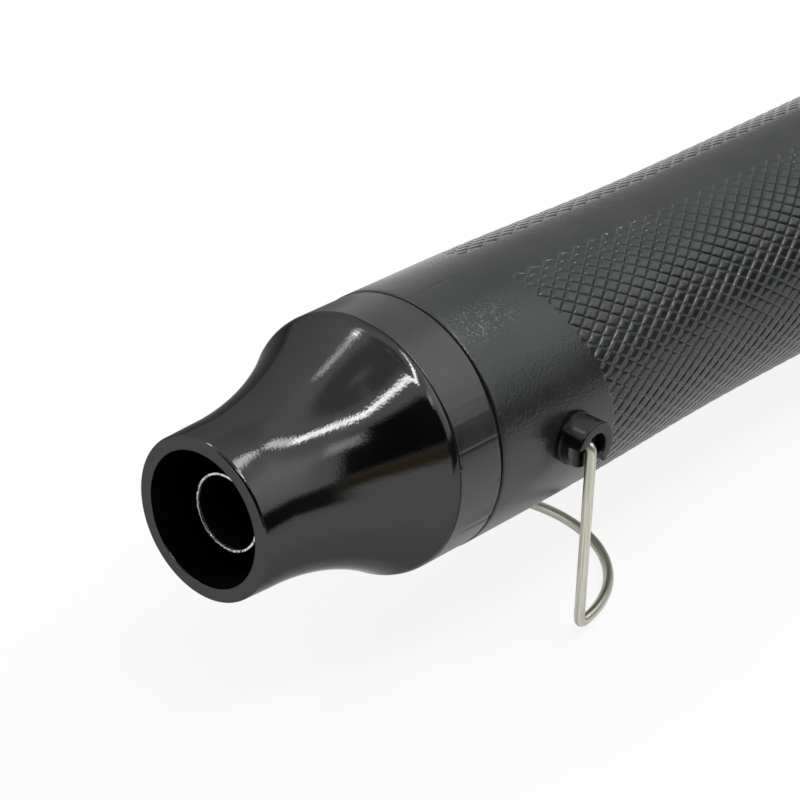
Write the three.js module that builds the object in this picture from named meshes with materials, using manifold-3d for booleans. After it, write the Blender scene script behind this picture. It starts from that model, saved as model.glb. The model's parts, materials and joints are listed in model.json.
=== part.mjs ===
// Hot air tool: a slim hand tool with a flared nozzle, a two-part grip, a blower, a heater and a wire stand.
// Millimetres. In the tool's own frame x runs from the mouth to the tail, -y is the left side and z is up.
// The tool stands on its wire foot and on the lower edge of its tail, so its nose points slightly up.
import * as THREE from 'three';
import { mergeVertices } from 'three/addons/utils/BufferGeometryUtils.js';
import Module from 'manifold-3d';

const wasm = await Module();
wasm.setup();

// Clearances
const gap = 0.3;
const partingGap = 0.1;
const fanTipGap = 3.6;
const rockerEndGap = 0.8;

// Facets around round pieces
const roundSides = 36;
const innerSides = 20;
const smallSides = 12;
const wireSides = 8;
const leadSides = 5;
const magnetSides = 10;
const bladeRows = 4;

// Grip shells
const bodyRadius = 21.5;
const waistRadius = 20.5;
const tailRadius = 21;
const gripStart = 60;
const waistPlace = 113;
const tailPlace = 190;
const gripSteps = 3;
const shellWall = 2;
const spigotWall = 1.6;
const ribWidth = 1.2;
const ribLength = 8;
const ribTabs = 4;
const ribHold = 0.8;
const leadNotch = 3.6;

// Nozzle and collar
const nozzleLength = 33;
const mouthRadius = 13.2;
const lipRound = 0.5;
const neckLength = 5.3;
const neckRadius = 13.4;
const shoulderCurve = 4.1;
const nozzleWall = 2.3;
const skirtLength = 4;
const skirtWall = 1.8;
const flareSteps = 5;
const roundingSteps = 2;
const collarRadius = 21.4;
const collarLength = 9.3;
const collarWall = 1.9;
const collarRib = 1;

// Outlet tube
const outletRecess = 5;
const outletRadius = 6.35;
const outletWall = 0.5;
const outletCone = 9;
const outletSleeve = 5.4;
const outletFlange = 0.6;

// Heater
const heaterLength = 53;
const linerOverlap = 4;
const linerRadius = 13.3;
const linerWall = 0.5;
const shieldRadius = 15.7;
const shieldWall = 0.5;
const boardSheet = 0.8;
const formerRadius = 9.6;
const formerEar = 3;
const coilWire = 0.5;
const coilTurns = 10;
const coilSteps = 12;
const coilMargin = 1.5;
const fuseRadius = 1.6;
const fuseLength = 10;
const basePlate = 2;
const baseRim = 4;
const baseHoleRadius = 4.6;
const baseBar = 1.6;
const baseHoles = 4;

// Blower
const fanRoom = 10.7;
const fanDepth = 9;
const fanHubRadius = 5;
const fanBlades = 7;
const bladeSheet = 1;
const bladeRootPitch = 55;
const bladeTipPitch = 32;
const fanToMotor = 7;
const shaftRadius = 1;
const motorRadius = 12.1;
const motorLength = 28;
const canWall = 0.6;
const canFront = 1;
const bushWall = 1.4;
const bushLength = 3;
const bushFlange = 0.6;
const bushLip = 0.9;
const magnetSheet = 1.9;
const magnetLength = 19;
const magnetSpread = 150;
const armatureLength = 16;
const armatureRadius = 8.6;
const armatureSlots = 5;
const armatureSlotWidth = 1.6;
const armatureCore = 4.5;
const commutatorRadius = 3.2;
const commutatorLength = 4;
const bellPlug = 3;
const bellPlugWall = 1;
const bellPlate = 2;
const bellBoss = 1.7;
const brushWidth = 1.6;
const brushThickness = 1.2;
const tabSheet = 0.8;
const tabWidth = 2.8;
const motorTabLength = 4.4;
const motorTabOffset = 7.5;
const mountSetback = 2;
const mountLength = 12;
const mountRing = 1;
const mountSleeve = 0.8;
const mountSpokes = 4;
const mountSpokeSheet = 1.2;
const mountSpokeStart = 45;

// Rectifier board
const boardLength = 18;
const boardThickness = 1.6;
const boardDrop = 8;
const boardEdgeGap = 1.1;
const railReach = 2.4;
const railHeight = 2;
const diodeCount = 4;
const diodeRadius = 1.35;
const diodeLength = 5.2;
const diodePitch = 3.8;
const diodeOffset = 5;
const capacitorLength = 11;
const capacitorWidth = 5;
const capacitorHeight = 8;
const capacitorOffset = 6;

// Rocker switch
const switchRoom = 4;
const rockerLength = 17.6;
const rockerWidth = 10.4;
const rockerTilt = 9;
const rockerRise = 2.9;
const rockerDip = 1;
const rockerSkirt = 0.6;
const rockerKeel = 3;
const rockerKeelLength = 8;
const rockerPivotDepth = 2.2;
const trunnionRadius = 0.9;
const trunnionLength = 0.6;
const switchWall = 1.1;
const switchDepth = 13;
const switchFloor = 5;
const bezelMargin = 1.4;
const bezelThickness = 1.6;
const flatDrop = 2;
const switchBossWall = 3;
const switchBossMargin = 2;
const switchTabLength = 7;
const switchTabWidth = 4.8;
const switchTabSpread = 10;

// Tail
const clampRoom = 3.5;
const clampWidth = 5;
const clampThickness = 2.5;
const clampPostOffset = 8.5;
const clampPostRadius = 2.8;
const clampEnd = 2.6;
const cordRadius = 3.3;
const cordSqueeze = 0.5;
const saddleWidth = 6;
const tailRoom = 6.5;
const capLength = 19.7;
const capWall = 2;
const capRound = 4;
const capRoundSteps = 3;
const capSpigotLength = 5.5;
const capSpigotWall = 1.6;
const capGroove = 0.8;
const endSlots = 12;
const endSlotWidth = 2.4;
const endSlotInner = 9.4;
const endSlotOuter = 15.6;
const sideSlots = 12;
const sideSlotWidth = 2.2;
const sideSlotLength = 8;
const glandBore = 3.6;
const glandNeck = 5;
const glandFlange = 7.4;
const glandFlangeThickness = 2.7;
const glandInnerFlange = 2;

// Screws
const postRadius = 4.2;
const postInset = 0.7;
const screwShank = 1.2;
const screwHead = 2.6;
const screwHeadHeight = 2;
const screwSeat = 6;
const screwReach = 9;
const clampScrewShank = 1.1;
const clampScrewHead = 2.3;
const clampScrewHeadHeight = 1.6;
const clampScrewReach = 8;

// Stand
const hubPlace = 59.7;
const hubDrop = 0.4;
const hubRadius = 4.2;
const hubHeight = 4.6;
const hubFlangeRadius = 4.5;
const hubFlange = 0.6;
const hubRecessRadius = 2.3;
const hubRecessDepth = 2.2;
const slotFrontDrop = 7;
const slotRearDrop = 108.5;
const slotSteps = 8;
const hubStemRadius = 2.7;
const hubStemExtra = 1.2;
const wireRadius = 0.9;
const wireBend = 1.6;
const wireSteps = 88;
const legLength = 33.05;
const legLean = 0.7;
const footDepth = 23.8;
const footPoints = 24;

// Leads
const leadRadius = 0.8;
const leadStep = 5;

// Places along the tool, from the mouth to the tail
const ribFront = nozzleLength + skirtLength + gap;
const ribRear = ribFront + collarRib;
const collarFront = nozzleLength + gap;
const collarRear = collarFront + collarLength;
const spigotFront = ribRear + gap;
const shellFront = collarRear + gap;
const flangeRear = ribFront - gap;
const linerFront = flangeRear - linerOverlap;
const linerRear = linerFront + heaterLength;
const baseFront = linerRear + gap;
const baseRear = baseFront + basePlate;
const frontPost = baseRear + fanRoom / 2;
const fanFront = baseRear + fanRoom;
const fanRear = fanFront + fanDepth;
const motorFront = fanRear + fanToMotor;
const motorRear = motorFront + motorLength;
const bellFront = motorRear + gap;
const bellRear = bellFront + bellPlate;
const bossRear = bellRear + bellBoss;
const mountFront = motorFront + mountSetback;
const mountRear = mountFront + mountLength;
const rearPost = bellRear + postRadius + 2 * gap;
const boardFront = rearPost + postRadius + 2 * gap;
const boardRear = boardFront + boardLength;
const cavityLength = rockerLength + 2 * rockerEndGap;
const cavityWidth = rockerWidth + 2 * gap;
const switchLength = cavityLength + 2 * switchWall;
const switchWidth = cavityWidth + 2 * switchWall;
const switchFront = boardRear + switchRoom;
const switchMiddle = switchFront + switchLength / 2;
const switchRear = switchFront + switchLength;
const clampFront = switchRear + clampRoom;
const clampMiddle = clampFront + clampWidth / 2;
const clampRear = clampFront + clampWidth;
const shellRear = clampRear + tailRoom;
const capFront = shellRear + gap;
const capRear = capFront + capLength;
const capSpigotFront = capFront - capSpigotLength;
const glandRear = capRear + gap + glandFlangeThickness;

// Radii that follow from their neighbours
const collarBore = collarRadius - collarWall;
const spigotRadius = collarBore - gap;
const skirtInner = spigotRadius - skirtWall;
const shieldSeat = shieldRadius + gap;
const linerInner = linerRadius - linerWall;
const bushBore = shaftRadius + gap;
const bushRadius = bushBore + bushWall;
const canInner = motorRadius - canWall;
const boreOnShaft = shaftRadius + gap;
const capSpigot = tailRadius - shellWall - gap;

// Heights of the switch
const seatHeight = tailRadius - flatDrop;
const bezelUnder = seatHeight + gap;
const bezelTop = bezelUnder + bezelThickness;
const pivotHeight = bezelTop - rockerPivotDepth;
const switchUnder = bezelUnder - switchDepth;

// Sides of the stand
const hubSeat = gripRadius(hubPlace) + gap;
const hubFace = gripRadius(hubPlace) + hubHeight;
const hubFloor = hubFace - hubRecessDepth;
const legOffset = hubFloor + gap + wireRadius;

const finish = (color, roughness, metalness) =>
  new THREE.MeshStandardMaterial({ color, roughness, metalness });
const glossBlack = finish(0x0b0b0c, 0.18, 0.1);
const collarBlack = finish(0x17181a, 0.38, 0);
const gripBlack = finish(0x232527, 0.55, 0);
const hubBlack = finish(0x121213, 0.3, 0);
const wireSteel = finish(0xb3ada0, 0.3, 1);
const tubeSteel = finish(0x9a9a98, 0.35, 1);
const shieldSteel = finish(0xa9abac, 0.45, 1);
const mica = finish(0xb59a72, 0.6, 0);
const ceramic = finish(0xd8d3c8, 0.7, 0);
const nichrome = finish(0x6d6964, 0.4, 1);
const brass = finish(0xb58f4a, 0.35, 1);
const copper = finish(0xa8633c, 0.4, 1);
const bronze = finish(0x8f6f3f, 0.45, 1);
const canSteel = finish(0xc0c0bd, 0.35, 1);
const darkPlastic = finish(0x1b1c1e, 0.5, 0);
const fanPlastic = finish(0x2b3138, 0.45, 0);
const ferrite = finish(0x3a3a3c, 0.8, 0);
const boardGreen = finish(0x2c5a3a, 0.5, 0);
const capacitorRed = finish(0x8c3a22, 0.45, 0);
const screwSteel = finish(0x4a4b4d, 0.4, 1);
const rubber = finish(0x151516, 0.8, 0);
const leadWhite = finish(0xd9d6cc, 0.6, 0);
const leadRed = finish(0x9a2a22, 0.6, 0);

// Solids: closed meshes that can be joined and cut

function solid(geometry) {
  const bare = new THREE.BufferGeometry();
  bare.setAttribute('position', geometry.getAttribute('position').clone());
  if (geometry.index) bare.setIndex(geometry.index.clone());
  const merged = mergeVertices(bare, 1e-4);
  const corners = merged.index.array;
  const kept = [];
  for (let i = 0; i < corners.length; i += 3) {
    const [a, b, c] = [corners[i], corners[i + 1], corners[i + 2]];
    if (a !== b && b !== c && c !== a) kept.push(a, b, c);
  }
  return new wasm.Manifold(new wasm.Mesh({
    numProp: 3,
    vertProperties: new Float32Array(merged.getAttribute('position').array),
    triVerts: new Uint32Array(kept),
  }));
}

function geometryOf(made) {
  const mesh = made.getMesh();
  const geometry = new THREE.BufferGeometry();
  geometry.setAttribute('position', new THREE.BufferAttribute(new Float32Array(mesh.vertProperties), 3));
  geometry.setIndex(new THREE.BufferAttribute(new Uint32Array(mesh.triVerts), 1));
  geometry.computeVertexNormals();
  return geometry;
}

const join = (first, ...rest) => rest.reduce((made, next) => made.add(next), first);
const cut = (first, ...rest) => rest.reduce((made, next) => made.subtract(next), first);

// A piece turned about the x axis from [x, radius] points: the outside to the rear, then the inside back
function turned(profile, sides = innerSides) {
  const points = [...profile, profile[0]].map(([x, radius]) => new THREE.Vector2(radius, x));
  return solid(new THREE.LatheGeometry(points, sides).rotateZ(-Math.PI / 2));
}

const tube = (front, rear, outer, inner, sides = innerSides) =>
  turned([[front, outer], [rear, outer], [rear, inner], [front, inner]], sides);

const rod = (front, rear, radius, sides = smallSides) => tube(front, rear, radius, 0, sides);

// A round bar along y
function crossRod(x, z, from, to, radius, sides = smallSides) {
  const bar = new THREE.CylinderGeometry(radius, radius, to - from, sides);
  return solid(bar.translate(x, (from + to) / 2, z));
}

function block(x0, x1, y0, y1, z0, z1) {
  const box = new THREE.BoxGeometry(x1 - x0, y1 - y0, z1 - z0);
  return solid(box.translate((x0 + x1) / 2, (y0 + y1) / 2, (z0 + z1) / 2));
}

function outline(points) {
  return new THREE.Shape(points.map(([a, b]) => new THREE.Vector2(a, b)));
}

// An outline in x and z, given its thickness along y
function plateAcross(points, from, to) {
  const plate = new THREE.ExtrudeGeometry(outline(points), { depth: to - from, bevelEnabled: false });
  return solid(plate.rotateX(Math.PI / 2).translate(0, to, 0));
}

// An outline in x and y, given its thickness along z
function plateLevel(points, from, to) {
  const plate = new THREE.ExtrudeGeometry(outline(points), { depth: to - from, bevelEnabled: false });
  return solid(plate.translate(0, 0, from));
}

function roundSection(radius, sides) {
  const corners = [...Array(sides).keys()].map((i) => 2 * Math.PI * (i + 0.5) / sides);
  return outline(corners.map((angle) => [radius * Math.cos(angle), radius * Math.sin(angle)]));
}

function sweep(path, radius, sides, steps) {
  const section = roundSection(radius, sides);
  return new THREE.ExtrudeGeometry(section, { steps, extrudePath: path, bevelEnabled: false });
}

// Copies of a solid spaced evenly round the x axis
function ringOf(made, count, startDegrees = 0) {
  const places = [...Array(count).keys()].map((i) => startDegrees + 360 * i / count);
  return places.map((degrees) => made.rotate([degrees, 0, 0]));
}

// Grip outline: full at the front, a slight waist, a fuller tail

function ease(from, to, start, end, x) {
  const share = Math.min(Math.max((x - start) / (end - start), 0), 1);
  return from + (to - from) * (1 - Math.cos(Math.PI * share)) / 2;
}

function gripRadius(x) {
  if (x < waistPlace) return ease(bodyRadius, waistRadius, gripStart, waistPlace, x);
  return ease(waistRadius, tailRadius, waistPlace, tailPlace, x);
}

const shellInner = (x) => gripRadius(x) - shellWall;
const leastInner = (front, rear) => Math.min(...spread(front, rear, gripSteps).map(shellInner));

function spread(front, rear, steps) {
  return [...Array(steps + 1).keys()].map((i) => front + (rear - front) * i / steps);
}

const stations = [
  ...spread(gripStart, waistPlace, gripSteps),
  ...spread(waistPlace, tailPlace, gripSteps).slice(1),
];

// Nozzle: a short neck, a long hollow flare and a small round shoulder that meets the collar

function nozzleSolid() {
  const rise = collarRadius - neckRadius;
  const run = nozzleLength - neckLength;
  const bothCurves = (run * run + rise * rise) / (2 * rise);
  const flareCurve = bothCurves - shoulderCurve;
  const lean = Math.asin(run / bothCurves);
  const lip = spread(0, Math.PI / 2, roundingSteps).map((t) =>
    [lipRound * (1 - Math.cos(t)), mouthRadius - lipRound * (1 - Math.sin(t))]);
  const flare = spread(0, lean, flareSteps).map((t) =>
    [neckLength + flareCurve * Math.sin(t), neckRadius + flareCurve * (1 - Math.cos(t))]);
  const shoulder = spread(lean, 0, roundingSteps).slice(1).map((t) =>
    [nozzleLength - shoulderCurve * Math.sin(t), collarRadius - shoulderCurve * (1 - Math.cos(t))]);
  const innerCurve = flareCurve + nozzleWall;
  const innerLean = Math.acos((neckRadius + flareCurve - skirtInner) / innerCurve);
  const inside = spread(innerLean, 0, flareSteps).map((t) =>
    [neckLength + innerCurve * Math.sin(t), neckRadius + flareCurve - innerCurve * Math.cos(t)]);
  return turned([
    ...lip, ...flare, ...shoulder,
    [nozzleLength, spigotRadius], [nozzleLength + skirtLength, spigotRadius],
    [nozzleLength + skirtLength, skirtInner], ...inside, [0, mouthRadius - nozzleWall],
  ], roundSides);
}

function collarSolid() {
  return turned([
    [collarFront, collarRadius], [collarRear, collarRadius], [collarRear, collarBore], [ribRear, collarBore],
    [ribRear, shieldSeat], [ribFront, shieldSeat], [ribFront, collarBore], [collarFront, collarBore],
  ], roundSides);
}

// Outlet tube: a straight steel tube that opens as a cone over the front of the liner

function outletSolid() {
  const sleeveInner = linerRadius + gap;
  const sleeveOuter = sleeveInner + outletWall;
  const flangeFront = flangeRear - outletFlange;
  const sleeveFront = flangeRear - outletSleeve;
  const coneFront = sleeveFront - outletCone;
  const flangeRadius = skirtInner - gap;
  return turned([
    [outletRecess, outletRadius], [coneFront, outletRadius], [sleeveFront, sleeveOuter],
    [flangeFront, sleeveOuter], [flangeFront, flangeRadius], [flangeRear, flangeRadius],
    [flangeRear, sleeveInner], [sleeveFront, sleeveInner],
    [coneFront, outletRadius - outletWall], [outletRecess, outletRadius - outletWall],
  ], innerSides);
}

// Heater: two crossed mica boards carry the coil inside the liner

function formerOutline(slotAtRear) {
  const front = linerFront;
  const rear = linerRear;
  const ear = linerInner - gap;
  const half = boardSheet / 2 + gap;
  const middle = (front + rear) / 2;
  const side = [[front + formerEar, ear], [front + formerEar, formerRadius],
    [rear - formerEar, formerRadius], [rear - formerEar, ear]];
  const below = side.map(([x, reach]) => [x, -reach]).reverse();
  const slot = (end, deep) => [[end, half], [deep, half], [deep, -half], [end, -half]];
  const rearSlot = slotAtRear ? slot(rear, middle - gap) : [];
  const frontSlot = slotAtRear ? [] : slot(front, middle + gap).reverse();
  return [
    ...side, [rear, ear], ...rearSlot, [rear, -ear],
    ...below, [front, -ear], ...frontSlot, [front, ear],
  ];
}

class Helix extends THREE.Curve {
  constructor(radius, front, rear, turns) {
    super();
    Object.assign(this, { radius, front, rear, turns });
  }

  getPoint(t, target = new THREE.Vector3()) {
    const angle = 2 * Math.PI * this.turns * t;
    const x = this.front + (this.rear - this.front) * t;
    return target.set(x, this.radius * Math.sin(angle), this.radius * Math.cos(angle));
  }
}

function leastTurnGap(path, turns, thickness) {
  const points = path.getSpacedPoints(turns * coilSteps);
  let least = Infinity;
  for (let i = 0; i < points.length; i += 1) {
    for (let j = i + coilSteps / 2; j < points.length; j += 1) {
      least = Math.min(least, points[i].distanceTo(points[j]) - thickness);
    }
  }
  return least;
}

function coilGeometry() {
  const ends = formerEar + coilMargin;
  const path = new Helix(formerRadius + gap + coilWire, linerFront + ends, linerRear - ends, coilTurns);
  const least = leastTurnGap(path, coilTurns, 2 * coilWire);
  console.log(`heating coil: least gap between turns ${least.toFixed(2)} mm`);
  return sweep(path, coilWire, leadSides, coilTurns * coilSteps);
}

function fuseSolid() {
  const offset = boardSheet / 2 + gap + fuseRadius;
  const rear = linerRear - formerEar - coilMargin;
  return rod(rear - fuseLength, rear, fuseRadius).translate([0, offset, offset]);
}

const baseRadius = leastInner(baseFront - baseRim, baseRear) - gap;

function baseSolid() {
  const cup = turned([
    [baseFront - baseRim, baseRadius], [baseRear, baseRadius], [baseRear, 0],
    [baseFront, 0], [baseFront, shieldSeat], [baseFront - baseRim, shieldSeat],
  ], innerSides);
  const offset = baseHoleRadius + baseBar / 2;
  const hole = rod(baseFront - gap, baseRear + gap, baseHoleRadius).translate([0, offset, offset]);
  return cut(cup, ...ringOf(hole, baseHoles));
}

// Blower: fan and armature on one shaft, in a can motor held by a spoked mount

const fanRadius = shellInner(waistPlace) - fanTipGap;

function bladeGeometry() {
  const root = fanHubRadius - bladeSheet;
  const span = fanRadius - root;
  const chord = (fanDepth - 2 * gap) / Math.sin(THREE.MathUtils.degToRad(bladeRootPitch));
  const blade = new THREE.BoxGeometry(chord, span, bladeSheet, 1, bladeRows, 1);
  blade.translate(0, root + span / 2, 0);
  const place = blade.getAttribute('position');
  const point = new THREE.Vector3();
  const spanAxis = new THREE.Vector3(0, 1, 0);
  for (let i = 0; i < place.count; i += 1) {
    point.fromBufferAttribute(place, i);
    const share = (point.y - root) / span;
    const pitch = bladeRootPitch + (bladeTipPitch - bladeRootPitch) * share;
    point.applyAxisAngle(spanAxis, THREE.MathUtils.degToRad(90 - pitch));
    place.setXYZ(i, point.x, point.y, point.z);
  }
  return blade.translate((fanFront + fanRear) / 2, 0, 0);
}

function fanSolid() {
  const hub = rod(fanFront, fanRear, fanHubRadius, innerSides);
  const bore = rod(fanFront - gap, fanRear + gap, boreOnShaft);
  return cut(join(hub, ...ringOf(solid(bladeGeometry()), fanBlades)), bore);
}

function armatureSolid() {
  const middle = motorFront + motorLength / 2;
  const [front, rear] = [middle - armatureLength / 2, middle + armatureLength / 2];
  const core = tube(front, rear, armatureRadius, boreOnShaft);
  const half = armatureSlotWidth / 2;
  const slot = block(front - gap, rear + gap, -half, half, armatureCore, motorRadius);
  return cut(core, ...ringOf(slot, armatureSlots));
}

const commutatorRear = motorRear - gap;
const commutatorFront = commutatorRear - commutatorLength;

function canSolid() {
  const hole = bushRadius + gap;
  return turned([
    [motorFront, hole], [motorFront, motorRadius], [motorRear, motorRadius],
    [motorRear, canInner], [motorFront + canFront, canInner], [motorFront + canFront, hole],
  ]);
}

function bellSolid() {
  const plugOuter = canInner - gap;
  const plugInner = plugOuter - bellPlugWall;
  const hole = bushRadius + gap;
  const bossRadius = hole + bushWall;
  return turned([
    [bellFront - bellPlug, plugOuter], [bellFront, plugOuter],
    [bellFront, motorRadius], [bellRear, motorRadius],
    [bellRear, bossRadius], [bossRear, bossRadius], [bossRear, hole], [bellFront, hole],
    [bellFront, plugInner], [bellFront - bellPlug, plugInner],
  ]);
}

// A bush with its lip outside the motor: side is -1 at the fan end and 1 at the tail end
function bushSolid(seat, side) {
  const lipNear = seat + side * gap;
  const lipFar = lipNear + side * bushFlange;
  const deep = seat - side * (bushLength - bushFlange);
  const [front, rear] = [Math.min(deep, lipFar), Math.max(deep, lipFar)];
  const [lipFront, lipRear] = [Math.min(lipNear, lipFar), Math.max(lipNear, lipFar)];
  const body = tube(front, rear, bushRadius, bushBore, smallSides);
  const lip = tube(lipFront, lipRear, bushRadius + bushLip, bushBore, smallSides);
  return join(body, lip);
}

// A curved magnet that lies under the shaft until it is turned
function magnetSolid(turn) {
  const outer = canInner - gap;
  const inner = outer - magnetSheet;
  const half = THREE.MathUtils.degToRad(magnetSpread / 2);
  const middle = motorFront + motorLength / 2;
  const arc = new THREE.Shape();
  arc.absarc(0, 0, outer, -half, half, false);
  arc.absarc(0, 0, inner, half, -half, true);
  const way = { depth: magnetLength, bevelEnabled: false, curveSegments: magnetSides };
  const bar = new THREE.ExtrudeGeometry(arc, way);
  bar.rotateY(Math.PI / 2).rotateX(turn).translate(middle - magnetLength / 2, 0, 0);
  return solid(bar);
}

function brushSolid(side) {
  const near = commutatorRadius + gap;
  const far = canInner - 2 * gap - bellPlugWall;
  const middle = (bellFront - bellPlug + commutatorRear) / 2;
  const [from, to] = side < 0 ? [-far, -near] : [near, far];
  const [sheet, half] = [brushThickness / 2, brushWidth / 2];
  return block(middle - sheet, middle + sheet, from, to, -half, half);
}

function motorTabSolid(side) {
  const middle = side * motorTabOffset;
  const front = bellRear + gap;
  return block(front, front + motorTabLength, middle - tabSheet / 2, middle + tabSheet / 2,
    -tabWidth / 2, tabWidth / 2);
}

const mountRadius = leastInner(mountFront, mountRear) - gap;

function mountSolid() {
  const ringInner = mountRadius - mountRing;
  const sleeveInner = motorRadius + gap;
  const sleeveOuter = sleeveInner + mountSleeve;
  const half = mountSpokeSheet / 2;
  const ring = tube(mountFront, mountRear, mountRadius, ringInner);
  const sleeve = tube(mountFront, mountRear, sleeveOuter, sleeveInner);
  const bite = mountSleeve / 2;
  const spoke = block(mountFront, mountRear, -half, half, sleeveOuter - bite, ringInner + bite);
  const held = join(ring, sleeve, ...ringOf(spoke, mountSpokes, mountSpokeStart));
  const notch = block(mountFront - gap, mountRear + gap, sleeveOuter + gap, mountRadius + gap,
    -leadNotch / 2, leadNotch / 2);
  return cut(held, notch, notch.rotate([180, 0, 0]));
}

// Rectifier board, held at its edges by rails in the shells

const boardTop = -boardDrop + boardThickness / 2;
const boardUnder = -boardDrop - boardThickness / 2;
const boardInner = leastInner(boardFront, boardRear);
const boardFarthest = Math.max(Math.abs(boardUnder), Math.abs(boardTop));
const boardHalf = Math.sqrt(boardInner ** 2 - boardFarthest ** 2) - boardEdgeGap;

const boardSolid = () => block(boardFront, boardRear, -boardHalf, boardHalf, boardUnder, boardTop);

function diodeSolid(index) {
  const middle = (boardFront + boardRear) / 2;
  const x = middle + (index - (diodeCount - 1) / 2) * diodePitch;
  const z = boardTop + gap + diodeRadius;
  return crossRod(x, z, diodeOffset - diodeLength / 2, diodeOffset + diodeLength / 2, diodeRadius);
}

function capacitorSolid() {
  const middle = (boardFront + boardRear) / 2;
  const from = -capacitorOffset - capacitorWidth / 2;
  return block(middle - capacitorLength / 2, middle + capacitorLength / 2, from, from + capacitorWidth,
    boardTop + gap, boardTop + gap + capacitorHeight);
}

// Rocker switch in a flat on top of the grip

function switchSolid() {
  const half = switchWidth / 2;
  const bezelHalf = half + bezelMargin;
  const body = block(switchFront, switchRear, -half, half, switchUnder, bezelTop);
  const bezel = block(switchFront - bezelMargin, switchRear + bezelMargin, -bezelHalf, bezelHalf,
    bezelUnder, bezelTop);
  const cavity = block(switchMiddle - cavityLength / 2, switchMiddle + cavityLength / 2,
    -cavityWidth / 2, cavityWidth / 2, pivotHeight - switchFloor, bezelTop + gap);
  const reach = cavityWidth / 2 + trunnionLength;
  const pivot = crossRod(switchMiddle, pivotHeight, -reach, reach, trunnionRadius + gap);
  return cut(join(body, bezel), cavity, pivot);
}

// The rocker about its own pivot, with its front end raised: switched off
function rockerSolid() {
  const end = rockerLength / 2;
  const keel = rockerKeelLength / 2;
  const half = rockerWidth / 2;
  const paddle = plateAcross([
    [-keel, -rockerKeel], [keel, -rockerKeel], [end, rockerSkirt], [end, rockerRise],
    [0, rockerRise - rockerDip], [-end, rockerRise], [-end, rockerSkirt],
  ], -half, half);
  const reach = half + trunnionLength;
  return join(paddle, crossRod(0, 0, -reach, reach, trunnionRadius));
}

function switchTabSolid(side) {
  const x = switchMiddle + side * switchTabSpread / 2;
  const top = switchUnder - gap;
  return block(x - tabSheet / 2, x + tabSheet / 2, -switchTabWidth / 2, switchTabWidth / 2,
    top - switchTabLength, top);
}

// Tail: slotted cap, rubber gland for the cord, and the clamp that holds the cord inside

function roundedEdge(rear, radius, round, steps) {
  return spread(0, Math.PI / 2, steps).map((t) =>
    [rear - round * (1 - Math.sin(t)), radius - round * (1 - Math.cos(t))]);
}

function capSolid() {
  const hole = glandNeck + gap;
  const groove = capSpigot - capGroove;
  const grooveFront = capSpigotFront + ribWidth;
  const grooveRear = grooveFront + ribWidth + 2 * gap;
  const inner = tailRadius - capWall;
  const insideRear = capRear - capWall;
  const shell = turned([
    [capSpigotFront, capSpigot], [grooveFront, capSpigot], [grooveFront, groove], [grooveRear, groove],
    [grooveRear, capSpigot], [capFront, capSpigot], [capFront, tailRadius],
    ...roundedEdge(capRear, tailRadius, capRound, capRoundSteps), [capRear, hole], [insideRear, hole],
    ...roundedEdge(insideRear, inner, capRound - capWall, capRoundSteps).reverse(),
    [capFront + capWall, inner], [capFront + capWall, capSpigot - capSpigotWall],
    [capSpigotFront, capSpigot - capSpigotWall],
  ], roundSides);
  const half = endSlotWidth / 2;
  const endSlot = block(insideRear - gap, capRear + gap, -half, half, endSlotInner, endSlotOuter);
  const sideHalf = sideSlotWidth / 2;
  const sideFront = (capFront + capWall + insideRear - sideSlotLength) / 2;
  const sideSlot = block(sideFront, sideFront + sideSlotLength, -sideHalf, sideHalf,
    inner - capRound, tailRadius + gap);
  return cut(shell,
    ...ringOf(endSlot, endSlots, 180 / endSlots),
    ...ringOf(sideSlot, sideSlots, 180 / sideSlots));
}

function glandSolid() {
  const insideRear = capRear - capWall - gap;
  const insideFront = insideRear - glandInnerFlange;
  return turned([
    [insideFront, glandFlange], [insideRear, glandFlange], [insideRear, glandNeck],
    [capRear + gap, glandNeck], [capRear + gap, glandFlange],
    [glandRear, glandFlange], [glandRear, glandBore], [insideFront, glandBore],
  ]);
}

const clampFace = cordRadius - cordSqueeze;
const clampBack = clampFace + clampThickness;

function clampSolid() {
  const reach = clampPostOffset + clampScrewHead + clampEnd;
  const bar = block(clampFront, clampRear, clampFace, clampBack, -reach, reach);
  const hole = clampScrewShank + gap;
  return cut(bar, ...[-1, 1].map((side) =>
    crossRod(clampMiddle, side * clampPostOffset, clampFace - gap, clampBack + gap, hole)));
}

function screwSolid(x, z, seat, shank, head, headHeight, reach) {
  const under = seat + gap;
  return join(
    crossRod(x, z, seat - reach, under + headHeight, shank),
    crossRod(x, z, under, under + headHeight, head),
  );
}

// Grip shells: one hollow body with ribs, rails and the switch seat, split along its parting plane

const postHeight = leastInner(frontPost, rearPost) - postRadius - postInset;
const shellScrewPlaces = [
  [frontPost, postHeight], [frontPost, -postHeight], [rearPost, postHeight], [rearPost, -postHeight],
];
const farOut = 2 * bodyRadius;

function envelopeSolid() {
  return turned([
    [shellFront, 0], [shellFront, bodyRadius],
    ...stations.map((x) => [x, gripRadius(x)]),
    [shellRear, tailRadius], [shellRear, 0],
  ], roundSides);
}

// Short tabs inside the wall that keep a round piece from sliding
function holdingTabs(front, held) {
  const wall = shellInner(front + ribWidth / 2) + shellWall / 2;
  const tab = block(front, front + ribWidth, -ribLength / 2, ribLength / 2, held, wall);
  return join(...ringOf(tab, ribTabs, 180 / ribTabs));
}

function tabsSolid() {
  return join(
    holdingTabs(baseFront - baseRim - gap - ribWidth, baseRadius - ribHold),
    holdingTabs(baseRear + gap, baseRadius - ribHold),
    holdingTabs(mountFront - gap - ribWidth, mountRadius - ribHold),
    holdingTabs(mountRear + gap, mountRadius - ribHold),
    holdingTabs(capSpigotFront + ribWidth + gap, capSpigot - capGroove + gap),
  );
}

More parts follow.
